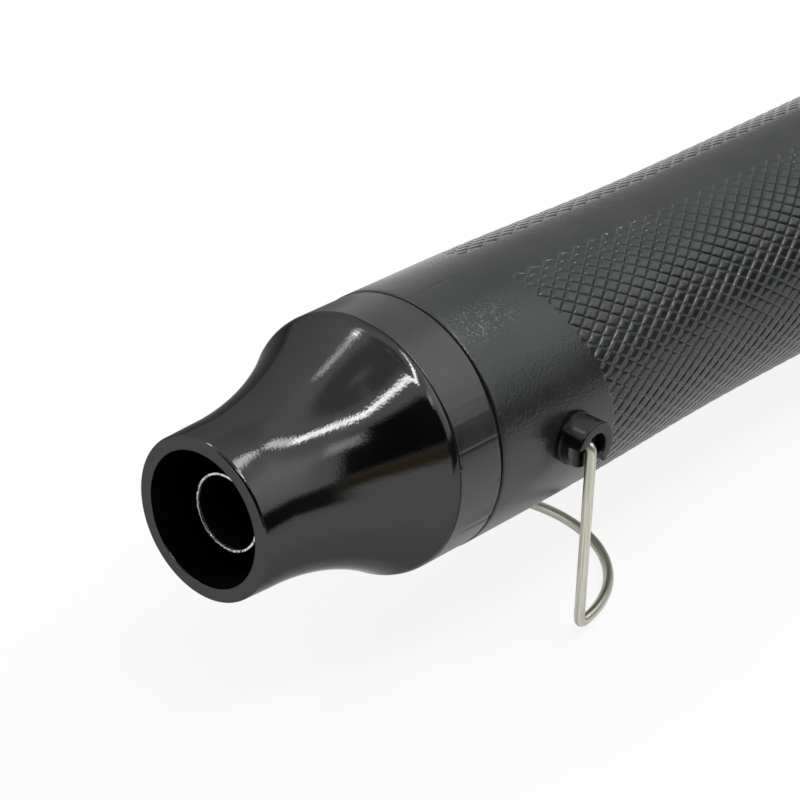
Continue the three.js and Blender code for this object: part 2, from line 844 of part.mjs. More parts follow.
function railsSolid(envelope) {
  const near = boardHalf - railReach;
  const lower = block(boardFront, boardRear, near, farOut, boardUnder - gap - railHeight, boardUnder - gap);
  const upper = block(boardFront, boardRear, near, farOut, boardTop + gap, boardTop + gap + railHeight);
  const right = join(lower, upper);
  return join(right, right.mirror([0, 1, 0])).intersect(envelope);
}

function housingSolid(envelope) {
  const inside = stations.map((x) => [x, shellInner(x)]).reverse();
  const spigotInner = spigotRadius - spigotWall;
  const hollow = turned([
    [spigotFront, spigotRadius], [shellFront, spigotRadius], [shellFront, bodyRadius],
    ...stations.map((x) => [x, gripRadius(x)]), [shellRear, tailRadius],
    [shellRear, tailRadius - shellWall], ...inside,
    [shellFront + shellWall, bodyRadius - shellWall], [shellFront + shellWall, spigotInner],
    [spigotFront, spigotInner],
  ], roundSides);
  const bezelFront = switchFront - bezelMargin;
  const bezelRear = switchRear + bezelMargin;
  const bezelHalf = switchWidth / 2 + bezelMargin;
  const margin = switchBossMargin;
  const boss = block(bezelFront - margin, bezelRear + margin, -bezelHalf - margin, bezelHalf + margin,
    seatHeight - switchBossWall, farOut).intersect(envelope);
  const flatHalf = bezelHalf + gap;
  const flat = block(bezelFront - gap, bezelRear + gap, -flatHalf, flatHalf, seatHeight, farOut);
  const window = block(switchFront - gap, switchRear + gap, -switchWidth / 2 - gap, switchWidth / 2 + gap,
    seatHeight - switchBossWall - gap, farOut);
  const hubHole = crossRod(hubPlace, -hubDrop, -farOut, farOut, hubStemRadius + gap, innerSides);
  return cut(join(hollow, tabsSolid(), railsSolid(envelope), boss), flat, window, hubHole);
}

function leftShellSolid(housing, envelope) {
  const half = block(-gap, glandRear, -farOut, -partingGap / 2, -farOut, farOut);
  const posts = shellScrewPlaces.map(([x, z]) => crossRod(x, z, -farOut, -partingGap / 2, postRadius));
  const holes = shellScrewPlaces.map(([x, z]) =>
    crossRod(x, z, screwSeat - gap - screwReach - screwShank, 0, screwShank + gap));
  const clampPosts = [-1, 1].map((side) =>
    crossRod(clampMiddle, side * clampPostOffset, -farOut, clampFace - gap, clampPostRadius));
  const clampHoles = [-1, 1].map((side) => crossRod(clampMiddle, side * clampPostOffset,
    clampBack - clampScrewReach - clampScrewShank, clampFace, clampScrewShank + gap));
  const saddle = block(clampFront, clampRear, -farOut, -cordRadius - gap, -saddleWidth / 2, saddleWidth / 2);
  const fittings = join(saddle, ...posts, ...clampPosts).intersect(envelope);
  return cut(join(housing.intersect(half), fittings), ...holes, ...clampHoles);
}

function rightShellSolid(housing, envelope) {
  const half = block(-gap, glandRear, partingGap / 2, farOut, -farOut, farOut);
  const posts = shellScrewPlaces.map(([x, z]) => crossRod(x, z, partingGap / 2, farOut, postRadius));
  const holes = shellScrewPlaces.map(([x, z]) => crossRod(x, z, 0, farOut, screwShank + gap));
  const sinks = shellScrewPlaces.map(([x, z]) => crossRod(x, z, screwSeat, farOut, screwHead + gap));
  const fittings = join(...posts).intersect(envelope);
  return cut(join(housing.intersect(half), fittings), ...holes, ...sinks);
}

// Stand: a pivot bush in each shell and one bent wire

function hubSolid(side) {
  const place = (from, to, radius, sides) => {
    const [low, high] = side < 0 ? [-to, -from] : [from, to];
    return crossRod(hubPlace, -hubDrop, low, high, radius, sides);
  };
  const stemEnd = gripRadius(hubPlace) - shellWall - hubStemExtra;
  const flangeTop = hubSeat + hubFlange;
  const made = join(
    place(stemEnd, hubFace, hubStemRadius, innerSides),
    place(hubSeat, flangeTop, hubFlangeRadius, innerSides),
    place(hubSeat, hubFace, hubRadius, innerSides),
  );
  const halfSlot = wireRadius + gap;
  const [low, high] = side < 0 ? [-hubFace - gap, -hubFloor] : [hubFloor, hubFace + gap];
  const slot = block(-hubFlangeRadius - gap, 0, low, high, -halfSlot, halfSlot);
  // Side by side, the slots make room for the leg's whole swing
  const room = spread(slotFrontDrop, slotRearDrop, slotSteps).map((drop) =>
    slot.rotate([0, -drop, 0]).translate([hubPlace, 0, -hubDrop]));
  return cut(made, ...room,
    place(stemEnd - gap, hubFace + gap, wireRadius + gap, smallSides),
    place(hubFloor, hubFace + gap, hubRecessRadius, innerSides));
}

// The wire about its pivot: a pin in each bush, straight legs and a foot that curves back
function wireGeometry() {
  const pinEnd = gripRadius(hubPlace) - shellWall - hubStemExtra;
  const footRadius = (legOffset ** 2 + footDepth ** 2) / (2 * footDepth);
  const footMiddle = footDepth - footRadius;
  const sweepHalf = Math.PI - Math.acos(footMiddle / footRadius);
  const point = (x, y, z) => new THREE.Vector3(x, y, z);
  const foot = spread(-1, 1, footPoints).map((share) => {
    const angle = share * sweepHalf;
    return point(footMiddle + footRadius * Math.cos(angle), footRadius * Math.sin(angle), -legLength);
  }).filter((spot) => spot.x > wireBend);
  const path = new THREE.CurvePath();
  const bend = (from, corner, to) => path.add(new THREE.QuadraticBezierCurve3(from, corner, to));
  const leg = (side) => ({
    pin: point(0, side * pinEnd, 0),
    above: point(0, side * (legOffset - wireBend), 0),
    top: point(0, side * legOffset, 0),
    upper: point(0, side * legOffset, -wireBend),
    lower: point(0, side * legOffset, wireBend - legLength),
    bottom: point(0, side * legOffset, -legLength),
  });
  const left = leg(-1);
  const right = leg(1);
  path.add(new THREE.LineCurve3(left.pin, left.above));
  bend(left.above, left.top, left.upper);
  path.add(new THREE.LineCurve3(left.upper, left.lower));
  bend(left.lower, left.bottom, foot[0]);
  path.add(new THREE.CatmullRomCurve3(foot));
  bend(foot[foot.length - 1], right.bottom, right.lower);
  path.add(new THREE.LineCurve3(right.lower, right.upper));
  bend(right.upper, right.top, right.above);
  path.add(new THREE.LineCurve3(right.above, right.pin));
  return sweep(path, wireRadius, wireSides, wireSteps);
}

// Leads between the switch, the board, the motor and the heater

function leadGeometry(points) {
  const path = new THREE.CatmullRomCurve3(points.map((spot) => new THREE.Vector3(...spot)));
  return sweep(path, leadRadius, leadSides, Math.ceil(path.getLength() / leadStep) + points.length);
}

const leadClear = leadRadius + gap;
const wallLane = leastInner(baseRear, mountRear) - leadClear - gap;
const baseLane = wallLane / 2;
const innerLane = motorRadius + mountSleeve + gap + leadClear;
const boardLane = boardHalf - railReach - leadClear;
const tabFoot = switchUnder - gap - switchTabLength;

// From the switch or the board, past the motor and the fan along the wall, to the heater base
function heaterLead(side, start) {
  return leadGeometry([
    ...start,
    [rearPost, side * (innerLane + leadRadius), 0],
    [mountRear + ribWidth, side * wallLane, 0],
    [mountFront - ribWidth, side * wallLane, 0],
    [fanFront, side * wallLane, 0],
    [frontPost, side * (wallLane + baseLane) / 2, 0],
    [baseRear + 4 * leadRadius, side * baseLane, 0],
    [baseRear + gap, side * baseLane, 0],
  ]);
}

const liveStart = [
  [switchMiddle - switchTabSpread / 2, switchTabWidth / 2 + leadClear, tabFoot + 2 * leadClear],
  [boardRear, boardLane * 0.7, boardTop + 4 * leadClear],
  [boardFront, boardLane, boardTop + 4 * leadClear],
];
const neutralStart = [
  [boardRear - leadClear, -boardLane, boardTop + leadClear],
  [(boardFront + boardRear) / 2, -boardLane, boardTop + leadClear],
  [boardFront, -boardLane, boardTop + 2 * leadClear],
];

function motorLead(side) {
  const tabEnd = bellRear + gap + motorTabLength;
  return leadGeometry([
    [boardFront + 2 * leadClear, side * (motorTabOffset + leadClear), boardTop + leadClear],
    [boardFront, side * (motorTabOffset + leadRadius), boardTop + 2 * leadClear],
    [tabEnd + 3 * leadRadius, side * motorTabOffset, 0],
    [tabEnd + gap, side * motorTabOffset, 0],
  ]);
}

function switchLead() {
  const x = switchMiddle + switchTabSpread / 2;
  return leadGeometry([
    [x, 0, tabFoot - gap],
    [x, 0, tabFoot - 2 * leadRadius],
    [(x + boardRear) / 2, 0, boardTop + leadClear],
    [boardRear - 2 * leadClear, 0, boardTop + leadClear],
  ]);
}

// Assembly

function piece(parent, name, made, material) {
  const geometry = made.isBufferGeometry ? made : geometryOf(made);
  const mesh = new THREE.Mesh(geometry, material);
  mesh.name = name;
  parent.add(mesh);
  return mesh;
}

function addFront(tool) {
  piece(tool, 'nozzle', nozzleSolid(), glossBlack);
  piece(tool, 'nozzle_collar', collarSolid(), collarBlack);
  piece(tool, 'outlet_tube', outletSolid(), tubeSteel);
}

function addHeater(tool) {
  const half = boardSheet / 2;
  piece(tool, 'heat_shield', tube(ribFront, linerRear, shieldRadius, shieldRadius - shieldWall), shieldSteel);
  piece(tool, 'mica_liner', tube(linerFront, linerRear, linerRadius, linerInner), mica);
  piece(tool, 'mica_board_upright', plateAcross(formerOutline(true), -half, half), mica);
  piece(tool, 'mica_board_level', plateLevel(formerOutline(false), -half, half), mica);
  piece(tool, 'heating_coil', coilGeometry(), nichrome);
  piece(tool, 'thermal_fuse', fuseSolid(), tubeSteel);
  piece(tool, 'heater_base', baseSolid(), ceramic);
}

function addBlower(tool) {
  piece(tool, 'fan_impeller', fanSolid(), fanPlastic);
  piece(tool, 'motor_shaft', rod(fanFront - gap, bossRear + bushFlange + 2 * gap, shaftRadius), canSteel);
  piece(tool, 'armature', armatureSolid(), ferrite);
  piece(tool, 'commutator', tube(commutatorFront, commutatorRear, commutatorRadius, boreOnShaft), copper);
  piece(tool, 'motor_can', canSolid(), canSteel);
  piece(tool, 'motor_end_bell', bellSolid(), darkPlastic);
  piece(tool, 'front_bush', bushSolid(motorFront, -1), bronze);
  piece(tool, 'rear_bush', bushSolid(bossRear, 1), bronze);
  piece(tool, 'magnet_upper', magnetSolid(Math.PI), ferrite);
  piece(tool, 'magnet_lower', magnetSolid(0), ferrite);
  for (const [word, side] of [['left', -1], ['right', 1]]) {
    piece(tool, `brush_${word}`, brushSolid(side), copper);
    piece(tool, `motor_tab_${word}`, motorTabSolid(side), brass);
    piece(tool, `motor_lead_${word}`, motorLead(side), side < 0 ? leadWhite : leadRed);
  }
  piece(tool, 'motor_mount', mountSolid(), darkPlastic);
}

function addSupply(tool) {
  piece(tool, 'rectifier_board', boardSolid(), boardGreen);
  for (let i = 0; i < diodeCount; i += 1) piece(tool, `diode_${i + 1}`, diodeSolid(i), darkPlastic);
  piece(tool, 'capacitor', capacitorSolid(), capacitorRed);
  piece(tool, 'switch_body', switchSolid(), darkPlastic);
  const rocker = piece(tool, 'switch_rocker', rockerSolid(), collarBlack);
  rocker.position.set(switchMiddle, 0, pivotHeight);
  rocker.rotation.y = THREE.MathUtils.degToRad(rockerTilt);
  piece(tool, 'switch_tab_front', switchTabSolid(-1), brass);
  piece(tool, 'switch_tab_rear', switchTabSolid(1), brass);
  piece(tool, 'heater_lead_live', heaterLead(1, liveStart), leadRed);
  piece(tool, 'heater_lead_neutral', heaterLead(-1, neutralStart), leadWhite);
  piece(tool, 'switch_lead', switchLead(), leadRed);
}

function addTail(tool) {
  piece(tool, 'rear_cap', capSolid(), gripBlack);
  piece(tool, 'cord_gland', glandSolid(), rubber);
  piece(tool, 'cord_clamp', clampSolid(), darkPlastic);
  for (const [word, side] of [['upper', 1], ['lower', -1]]) {
    piece(tool, `clamp_screw_${word}`, screwSolid(clampMiddle, side * clampPostOffset, clampBack,
      clampScrewShank, clampScrewHead, clampScrewHeadHeight, clampScrewReach), screwSteel);
  }
}

function addGrip(tool) {
  const envelope = envelopeSolid();
  const housing = housingSolid(envelope);
  piece(tool, 'shell_left', leftShellSolid(housing, envelope), gripBlack);
  piece(tool, 'shell_right', rightShellSolid(housing, envelope), gripBlack);
  shellScrewPlaces.forEach(([x, z], i) => {
    const screw = screwSolid(x, z, screwSeat, screwShank, screwHead, screwHeadHeight, screwReach);
    piece(tool, `shell_screw_${i + 1}`, screw, screwSteel);
  });
  piece(tool, 'stand_hub_left', hubSolid(-1), hubBlack);
  piece(tool, 'stand_hub_right', hubSolid(1), hubBlack);
}

// Nose-up lean at which the back of the foot and the rounded tail edge both touch the table
function standingLean() {
  const tilt = THREE.MathUtils.degToRad(legLean);
  const footX = hubPlace + footDepth * Math.cos(tilt) + legLength * Math.sin(tilt);
  const footZ = footDepth * Math.sin(tilt) - legLength * Math.cos(tilt) - hubDrop;
  const back = capRear - capRound - footX;
  const rise = tailRadius - capRound + footZ;
  return Math.asin((wireRadius - capRound) / Math.hypot(back, rise)) - Math.atan2(rise, back);
}

function assemble() {
  const part = new THREE.Group();
  const standing = new THREE.Group();
  const tool = new THREE.Group();
  tool.rotation.y = standingLean();
  addFront(tool);
  addHeater(tool);
  addBlower(tool);
  addSupply(tool);
  addTail(tool);
  addGrip(tool);
  const wire = piece(tool, 'stand_wire', wireGeometry(), wireSteel);
  wire.position.set(hubPlace, 0, -hubDrop);
  wire.rotation.y = -THREE.MathUtils.degToRad(legLean);
  standing.add(tool);
  // The origin is the middle of the box's underside
  const box = new THREE.Box3().setFromObject(standing, true);
  const middle = box.getCenter(new THREE.Vector3());
  standing.position.set(-middle.x, -middle.y, -box.min.z);
  part.add(standing);
  return part;
}

export default assemble();
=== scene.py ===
"""Looks of a slim hot air tool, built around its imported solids.

Every piece is worked out in the tool's own frame, in millimetres: x runs from the mouth to the tail, -y is
the left side and z is up. ToolFrame then puts it into the row frame, where the tool leans nose-up on its
wire foot.
"""

import json
import logging
import math
from collections.abc import Callable, Sequence
from dataclasses import dataclass
from enum import Enum

import bmesh
import bpy
import numpy as np
from mathutils import Matrix


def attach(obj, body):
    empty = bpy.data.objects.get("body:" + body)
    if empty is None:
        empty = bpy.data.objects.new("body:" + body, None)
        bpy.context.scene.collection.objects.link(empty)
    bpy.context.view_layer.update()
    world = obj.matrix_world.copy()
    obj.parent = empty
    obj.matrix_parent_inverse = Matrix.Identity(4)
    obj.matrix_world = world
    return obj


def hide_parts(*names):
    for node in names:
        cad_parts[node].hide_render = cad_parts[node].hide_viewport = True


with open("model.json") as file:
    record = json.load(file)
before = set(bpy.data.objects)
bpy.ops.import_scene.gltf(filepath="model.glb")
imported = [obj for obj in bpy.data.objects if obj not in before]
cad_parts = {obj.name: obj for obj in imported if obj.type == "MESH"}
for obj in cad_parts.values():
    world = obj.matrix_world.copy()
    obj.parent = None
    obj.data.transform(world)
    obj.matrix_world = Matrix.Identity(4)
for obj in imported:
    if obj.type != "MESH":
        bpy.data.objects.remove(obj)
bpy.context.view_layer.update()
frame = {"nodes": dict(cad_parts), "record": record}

MM = 0.001
QUARTER = math.pi / 2
LOG = logging.getLogger("hot_air_tool")

Array = np.ndarray
Pair = tuple[float, float]
Triple = tuple[float, float, float]
Four = tuple[float, float, float, float]
Piece = bpy.types.Object
Material = bpy.types.Material
Node = bpy.types.Node
Socket = bpy.types.NodeSocket
Tree = bpy.types.NodeTree
Warp = Callable[[Array, Array, Array], tuple[Array, Array]]

UNIT: Pair = (0.0, 1.0)
# x and z of the stand's pivot in the tool's frame.
PIVOT: Pair = (59.7, -0.4)
# Points of a small circle.
ROUND_SIDES = 48
# How far a cut runs past the face that it starts from.
PAST = 1.0


class Side(Enum):
    """Side of the tool, as the sign of y."""

    LEFT = -1
    RIGHT = 1


class Body(Enum):
    """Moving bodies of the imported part."""

    TOOL = "tool"
    STAND = "stand"
    ROCKER = "rocker"


class Cut(Enum):
    """Ways to combine two closed pieces."""

    REMOVE = "DIFFERENCE"
    ADD = "UNION"


def same(value: float) -> Triple:
    """Three equal numbers: a grey, or the radii of a ball."""
    return (value, value, value)


def unit(vectors: Array) -> Array:
    """The same directions at length 1."""
    return vectors / np.linalg.norm(vectors, axis=-1, keepdims=True)


def square_to(vectors: Array, axes: Array) -> Array:
    """The unit directions square to unit axes that lie nearest to the given vectors."""
    return unit(vectors - (vectors * axes).sum(-1, keepdims=True) * axes)


@dataclass(frozen=True)
class ToolFrame:
    """The tool's own axes in the row frame."""

    mouth: Array
    along: Array
    up: Array

    @classmethod
    def from_record(cls, record: dict, pivot: Pair) -> "ToolFrame":
        """Read the lean from the fan's axis and the place from the stand's pivot.

        Args:
            record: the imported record.
            pivot: x and z of the stand's pivot in the tool's frame, in millimetres.

        Returns:
            The frame of the standing tool.
        """
        joints = {joint["name"]: joint for joint in record["behaviour"]["joints"]}
        along = unit(np.array(joints["fan_spin"]["axis"], float))
        up = np.array([-along[2], 0.0, along[0]])
        place = np.array(joints["stand_fold"]["pos_m"], float)
        return cls(place - MM * (pivot[0] * along + pivot[1] * up), along, up)

    @property
    def axes(self) -> Array:
        """The tool's x, y and z directions, one a row."""
        return np.stack([self.along, [0.0, 1.0, 0.0], self.up])

    @property
    def lean(self) -> float:
        """Angle about +y from the row frame to the tool's frame, in radians."""
        return math.atan2(-self.along[2], self.along[0])

    def turn(self, vectors: Array) -> Array:
        """Turn tool directions into row directions."""
        return np.asarray(vectors, float) @ self.axes

    def place(self, points: Array) -> Array:
        """Put tool points, in millimetres, into the row frame, in metres."""
        return self.mouth + self.turn(points) * MM

    def measure(self, points: Array) -> Array:
        """Put row points, in metres, into the tool's frame, in millimetres."""
        return (points - self.mouth) @ self.axes.T / MM


TOOL = ToolFrame.from_record(frame["record"], PIVOT)


@dataclass
class Skin:
    """Points, in millimetres, and faces of one closed surface."""

    points: Array
    faces: list[Array]


def quads(rows: int, columns: int, wrap_rows: bool = False, wrap_columns: bool = False) -> Array:
    """Corner numbers of a grid's four-sided faces.

    Args:
        rows: points along the first parameter.
        columns: points along the second parameter.
        wrap_rows: whether the last row meets the first.
        wrap_columns: whether the last column meets the first.

    Returns:
        An array with four corner numbers a face.
    """
    i, j = np.meshgrid(
        np.arange(rows if wrap_rows else rows - 1),
        np.arange(columns if wrap_columns else columns - 1),
        indexing="ij",
    )
    k, m = (i + 1) % rows, (j + 1) % columns
    corners = [i * columns + j, i * columns + m, k * columns + m, k * columns + j]
    return np.stack(corners, -1).reshape(-1, 4)


def stack(rings: Array) -> Skin:
    """Close a stack of rings with one flat face at each end.

    Args:
        rings: the rings' points, shaped (rings, points, 3).

    Returns:
        The closed surface.
    """
    count, points = rings.shape[:2]
    ends = np.stack([np.arange(points)[::-1], np.arange(points) + (count - 1) * points])
    return Skin(rings.reshape(-1, 3), [quads(count, points, wrap_columns=True), ends])


def circle(sides: int) -> Array:
    """Points of the unit circle, shaped (sides, 2)."""
    angle = np.arange(sides) * 2 * np.pi / sides
    return np.column_stack([np.cos(angle), np.sin(angle)])


def arc(middle: Sequence[float], radius: float, start: float, end: float, count: int) -> Array:
    """Points of an arc: its middle plus the radius times the cosine and sine of angles from start to end."""
    angle = np.linspace(start, end, count)
    return np.asarray(middle) + radius * np.column_stack([np.cos(angle), np.sin(angle)])


def rounded(corners: Sequence[Triple], steps: int = 5, thin: bool = True) -> Array:
    """A closed outline whose corners are arcs tangent to both of their sides.

    A corner's arc reaches along each side by its rounding over the tangent of half the corner's angle, and
    by a little less than half a side at most. Its middle lies on the line that halves the corner.

    Args:
        corners: (a, b, rounding) of each corner, in order.
        steps: pieces of each arc.
        thin: whether points that coincide are left out.

    Returns:
        The outline's points, shaped (points, 2).
    """
    most, nothing, touching = 0.499, 1e-9, 1e-6
    spots, size = np.array(corners)[:, :2], np.array(corners)[:, 2]
    back, ahead = np.roll(spots, 1, 0) - spots, np.roll(spots, -1, 0) - spots
    shorter = np.minimum(np.linalg.norm(back, axis=1), np.linalg.norm(ahead, axis=1))
    u, v = unit(back), unit(ahead)
    half = np.arccos(np.clip((u * v).sum(1), -1, 1)) / 2
    reach = np.minimum(size / np.tan(half), most * shorter)
    size = reach * np.tan(half)
    between = (u + v) / np.maximum(np.linalg.norm(u + v, axis=1), nothing)[:, None]
    middle = spots + between * (size / np.sin(half))[:, None]
    first, last = spots + u * reach[:, None] - middle, spots + v * reach[:, None] - middle
    start = np.arctan2(first[:, 1], first[:, 0])
    turn = (np.arctan2(last[:, 1], last[:, 0]) - start + np.pi) % (2 * np.pi) - np.pi
    angle = start[:, None] + turn[:, None] * np.linspace(0, 1, steps + 1)
    arcs = middle[:, None] + size[:, None, None] * np.stack([np.cos(angle), np.sin(angle)], -1)
    outline = arcs.reshape(-1, 2)
    if not thin:
        return outline
    return outline[np.linalg.norm(outline - np.roll(outline, 1, 0), axis=1) > touching]


def rectangle(length: float, width: float, rounding: float) -> Array:
    """A rectangle about the origin with round corners.

    Args:
        length: its size along the first direction.
        width: its size along the second direction.
        rounding: radius of its corners.

    Returns:
        Its points, shaped (points, 2), as many for every size.
    """
    a, b = length / 2, width / 2
    corners = [(-a, -b, rounding), (a, -b, rounding), (a, b, rounding), (-a, b, rounding)]
    return rounded(corners, thin=False)


def layer(outline: Array, axis: int, height: float) -> Array:
    """An outline's points at a height along an axis, 0 to 2 for x to z, shaped (points, 3)."""
    return np.insert(outline, axis, height, axis=1)


def prism(outline: Array, axis: int, start: float, end: float) -> Skin:
    """An outline carried along an axis, 0 to 2 for x to z, from start to end."""
    return stack(np.stack([layer(outline, axis, height) for height in (start, end)]))


def bar_across(x: float, z: float, start: float, end: float, radius: float) -> Skin:
    """A round bar parallel to y, from start to end."""
    return prism(circle(ROUND_SIDES) * radius + [x, z], 1, start, end)


def turned(outline: Array, sides: int, warp: Warp | None = None) -> Skin:
    """Carry a closed outline of (x, radius) round the tool's axis.

    A point at angle t from the top, towards +y, is (x, radius sin t, radius cos t).

    Args:
        outline: the closed outline.
        sides: points round the axis.
        warp: gives a new x and radius from x, radius and angle.

    Returns:
        The closed ring-shaped surface.
    """
    angle = np.arange(sides) * 2 * np.pi / sides
    x, radius, angle = np.broadcast_arrays(outline[:, :1], outline[:, 1:], angle[None])
    if warp is not None:
        x, radius = warp(x, radius, angle)
    points = np.stack([x, radius * np.sin(angle), radius * np.cos(angle)], -1)
    return Skin(points.reshape(-1, 3), [quads(len(outline), sides, True, True)])


def turned_across(outline: Array, x: float, z: float, sides: int) -> Skin:
    """Carry a closed outline of (y, radius) round an axis parallel to y through x and z."""
    skin = turned(outline, sides)
    return Skin(skin.points[:, [2, 0, 1]] + [x, 0.0, z], skin.faces)


def swept(path: Array, radius: float, sides: int, hint: Array) -> Skin:
    """Carry a circle along a path, square to it.

    Args:
        path: points of the path, shaped (points, 3).
        radius: radius of the circle.
        sides: points of the circle.
        hint: a direction that the path never follows; the circle's first point lies towards it.

    Returns:
        The closed tube.
    """
    tangent = unit(np.gradient(path, axis=0))
    first = square_to(hint, tangent)
    second = np.cross(tangent, first)
    cos, sin = circle(sides).T[..., None]
    return stack(path[:, None] + radius * (cos * first[:, None] + sin * second[:, None]))


def ring_of(skin: Skin, count: int) -> Skin:
    """Copies of a skin turned about the tool's axis by even steps, the first one by half a step.

    Args:
        skin: the surface to copy.
        count: the number of copies.

    Returns:
        One skin that holds all copies.
    """
    angle = 2 * np.pi * (np.arange(count) + 0.5) / count
    cos, sin = np.cos(angle)[:, None], np.sin(angle)[:, None]
    x, y, z = skin.points.T
    points = np.stack([np.broadcast_to(x, (count, len(x))), y * cos + z * sin, z * cos - y * sin], -1)
    shift = np.arange(count)[:, None, None] * len(x)
    faces = [(corners[None] + shift).reshape(-1, corners.shape[1]) for corners in skin.faces]
    return Skin(points.reshape(-1, 3), faces)


def tilted(vectors: Array, degrees: float) -> Array:
    """Turn vectors about y, which takes z towards x.

    Args:
        vectors: the vectors, with x, y and z last.
        degrees: the angle.

    Returns:
        The turned vectors.
    """
    cos, sin = math.cos(math.radians(degrees)), math.sin(math.radians(degrees))
    return vectors @ np.array([[cos, 0.0, -sin], [0.0, 1.0, 0.0], [sin, 0.0, cos]])


def smooth_step(low: float, high: float, values: Array) -> Array:
    """Ease from 0 at low to 1 at high."""
    share = np.clip((values - low) / (high - low), 0, 1)
    return share * share * (3 - 2 * share)


def bell(values: Array, centre: float, width: float | Array) -> Array:
    """A bell curve of height 1 about a centre."""
    return np.exp(-(((values - centre) / width) ** 2))


def add_object(name: str, data: bpy.types.ID) -> Piece:
    """Make an object of the given data and put it into the scene.

    Args:
        name: the object's name.
        data: its mesh, lamp or camera.

    Returns:
        The object.
    """
    made = bpy.data.objects.new(name, data)
    bpy.context.scene.collection.objects.link(made)
    return made


def make_piece(name: str, skin: Skin) -> Piece:
    """Make a mesh object of a skin, in the row frame, with its faces outwards.

    Args:
        name: the piece's name.
        skin: the surface, in the tool's frame.

    Returns:
        The new object, at the origin.
    """
    mesh = bpy.data.meshes.new(name)
    corners = np.concatenate([face.ravel() for face in skin.faces]).astype(np.int32)
    sizes = np.concatenate([np.full(len(face), face.shape[1]) for face in skin.faces])
    starts = np.concatenate([[0], np.cumsum(sizes)[:-1]]).astype(np.int32)
    mesh.vertices.add(len(skin.points))
    mesh.vertices.foreach_set("co", TOOL.place(skin.points).astype(np.float32).ravel())
    mesh.loops.add(len(corners))
    mesh.loops.foreach_set("vertex_index", corners)
    mesh.polygons.add(len(starts))
    mesh.polygons.foreach_set("loop_start", starts)
    mesh.update(calc_edges=True)
    mesh.validate()
    point_outwards(mesh)
    return add_object(name, mesh)


def point_outwards(mesh: bpy.types.Mesh) -> None:
    """Merge coinciding points and turn all faces outwards.

    Args:
        mesh: the mesh, which is changed.
    """
    work = bmesh.new()
    work.from_mesh(mesh)
    bmesh.ops.remove_doubles(work, verts=work.verts, dist=1e-8)
    bmesh.ops.recalc_face_normals(work, faces=work.faces)
    work.to_mesh(mesh)
    work.free()


def apply_modifiers(piece: Piece) -> None:
    """Put what a piece's modifiers make into its mesh.

    Args:
        piece: the piece, which is changed.
    """
    graph = bpy.context.evaluated_depsgraph_get()
    made = bpy.data.meshes.new_from_object(piece.evaluated_get(graph))
    piece.modifiers.clear()
    old, piece.data = piece.data, made
    bpy.data.meshes.remove(old)
    made.name = piece.name


def combine(piece: Piece, other: Skin, cut: Cut) -> None:
    """Join a closed skin to a piece, or cut it out of it.

    Args:
        piece: the closed piece, which is changed.
        other: the closed surface to combine it with.
        cut: the way to combine them.
    """
    helper = make_piece("helper", other)
    before = len(piece.data.polygons)
    modifier = piece.modifiers.new("combine", "BOOLEAN")
    modifier.operation = cut.value
    modifier.solver = "MANIFOLD"
    modifier.object = helper
    apply_modifiers(piece)
    spare = helper.data
    bpy.data.objects.remove(helper)
    bpy.data.meshes.remove(spare)
    LOG.info("%s: %s, %d faces to %d", piece.name, cut.name.lower(), before, len(piece.data.polygons))


def bevel(piece: Piece, width: float) -> None:
    """Round the sharp edges of a piece.

    Args:
        piece: the piece, which is changed.
        width: the rounding, in millimetres.
    """
    modifier = piece.modifiers.new("edges", "BEVEL")
    modifier.width = width * MM
    modifier.segments = 3
    modifier.limit_method = "ANGLE"
    modifier.angle_limit = math.radians(20)
    apply_modifiers(piece)


def tool_points(piece: Piece) -> Array:
    """A piece's points in the tool's frame, in millimetres.

    Args:
        piece: the piece.

    Returns:
        The points, shaped (points, 3).
    """
    points = np.empty(len(piece.data.vertices) * 3, np.float32)
    piece.data.vertices.foreach_get("co", points)
    return TOOL.measure(points.reshape(-1, 3).astype(float))


def write_mask(piece: Piece, name: str, values: Array) -> None:
    """Keep one number a point as a mesh attribute for the materials."""
    attribute = piece.data.attributes.new(name, "FLOAT", "POINT")
    attribute.data.foreach_set("value", values.astype(np.float32).ravel())


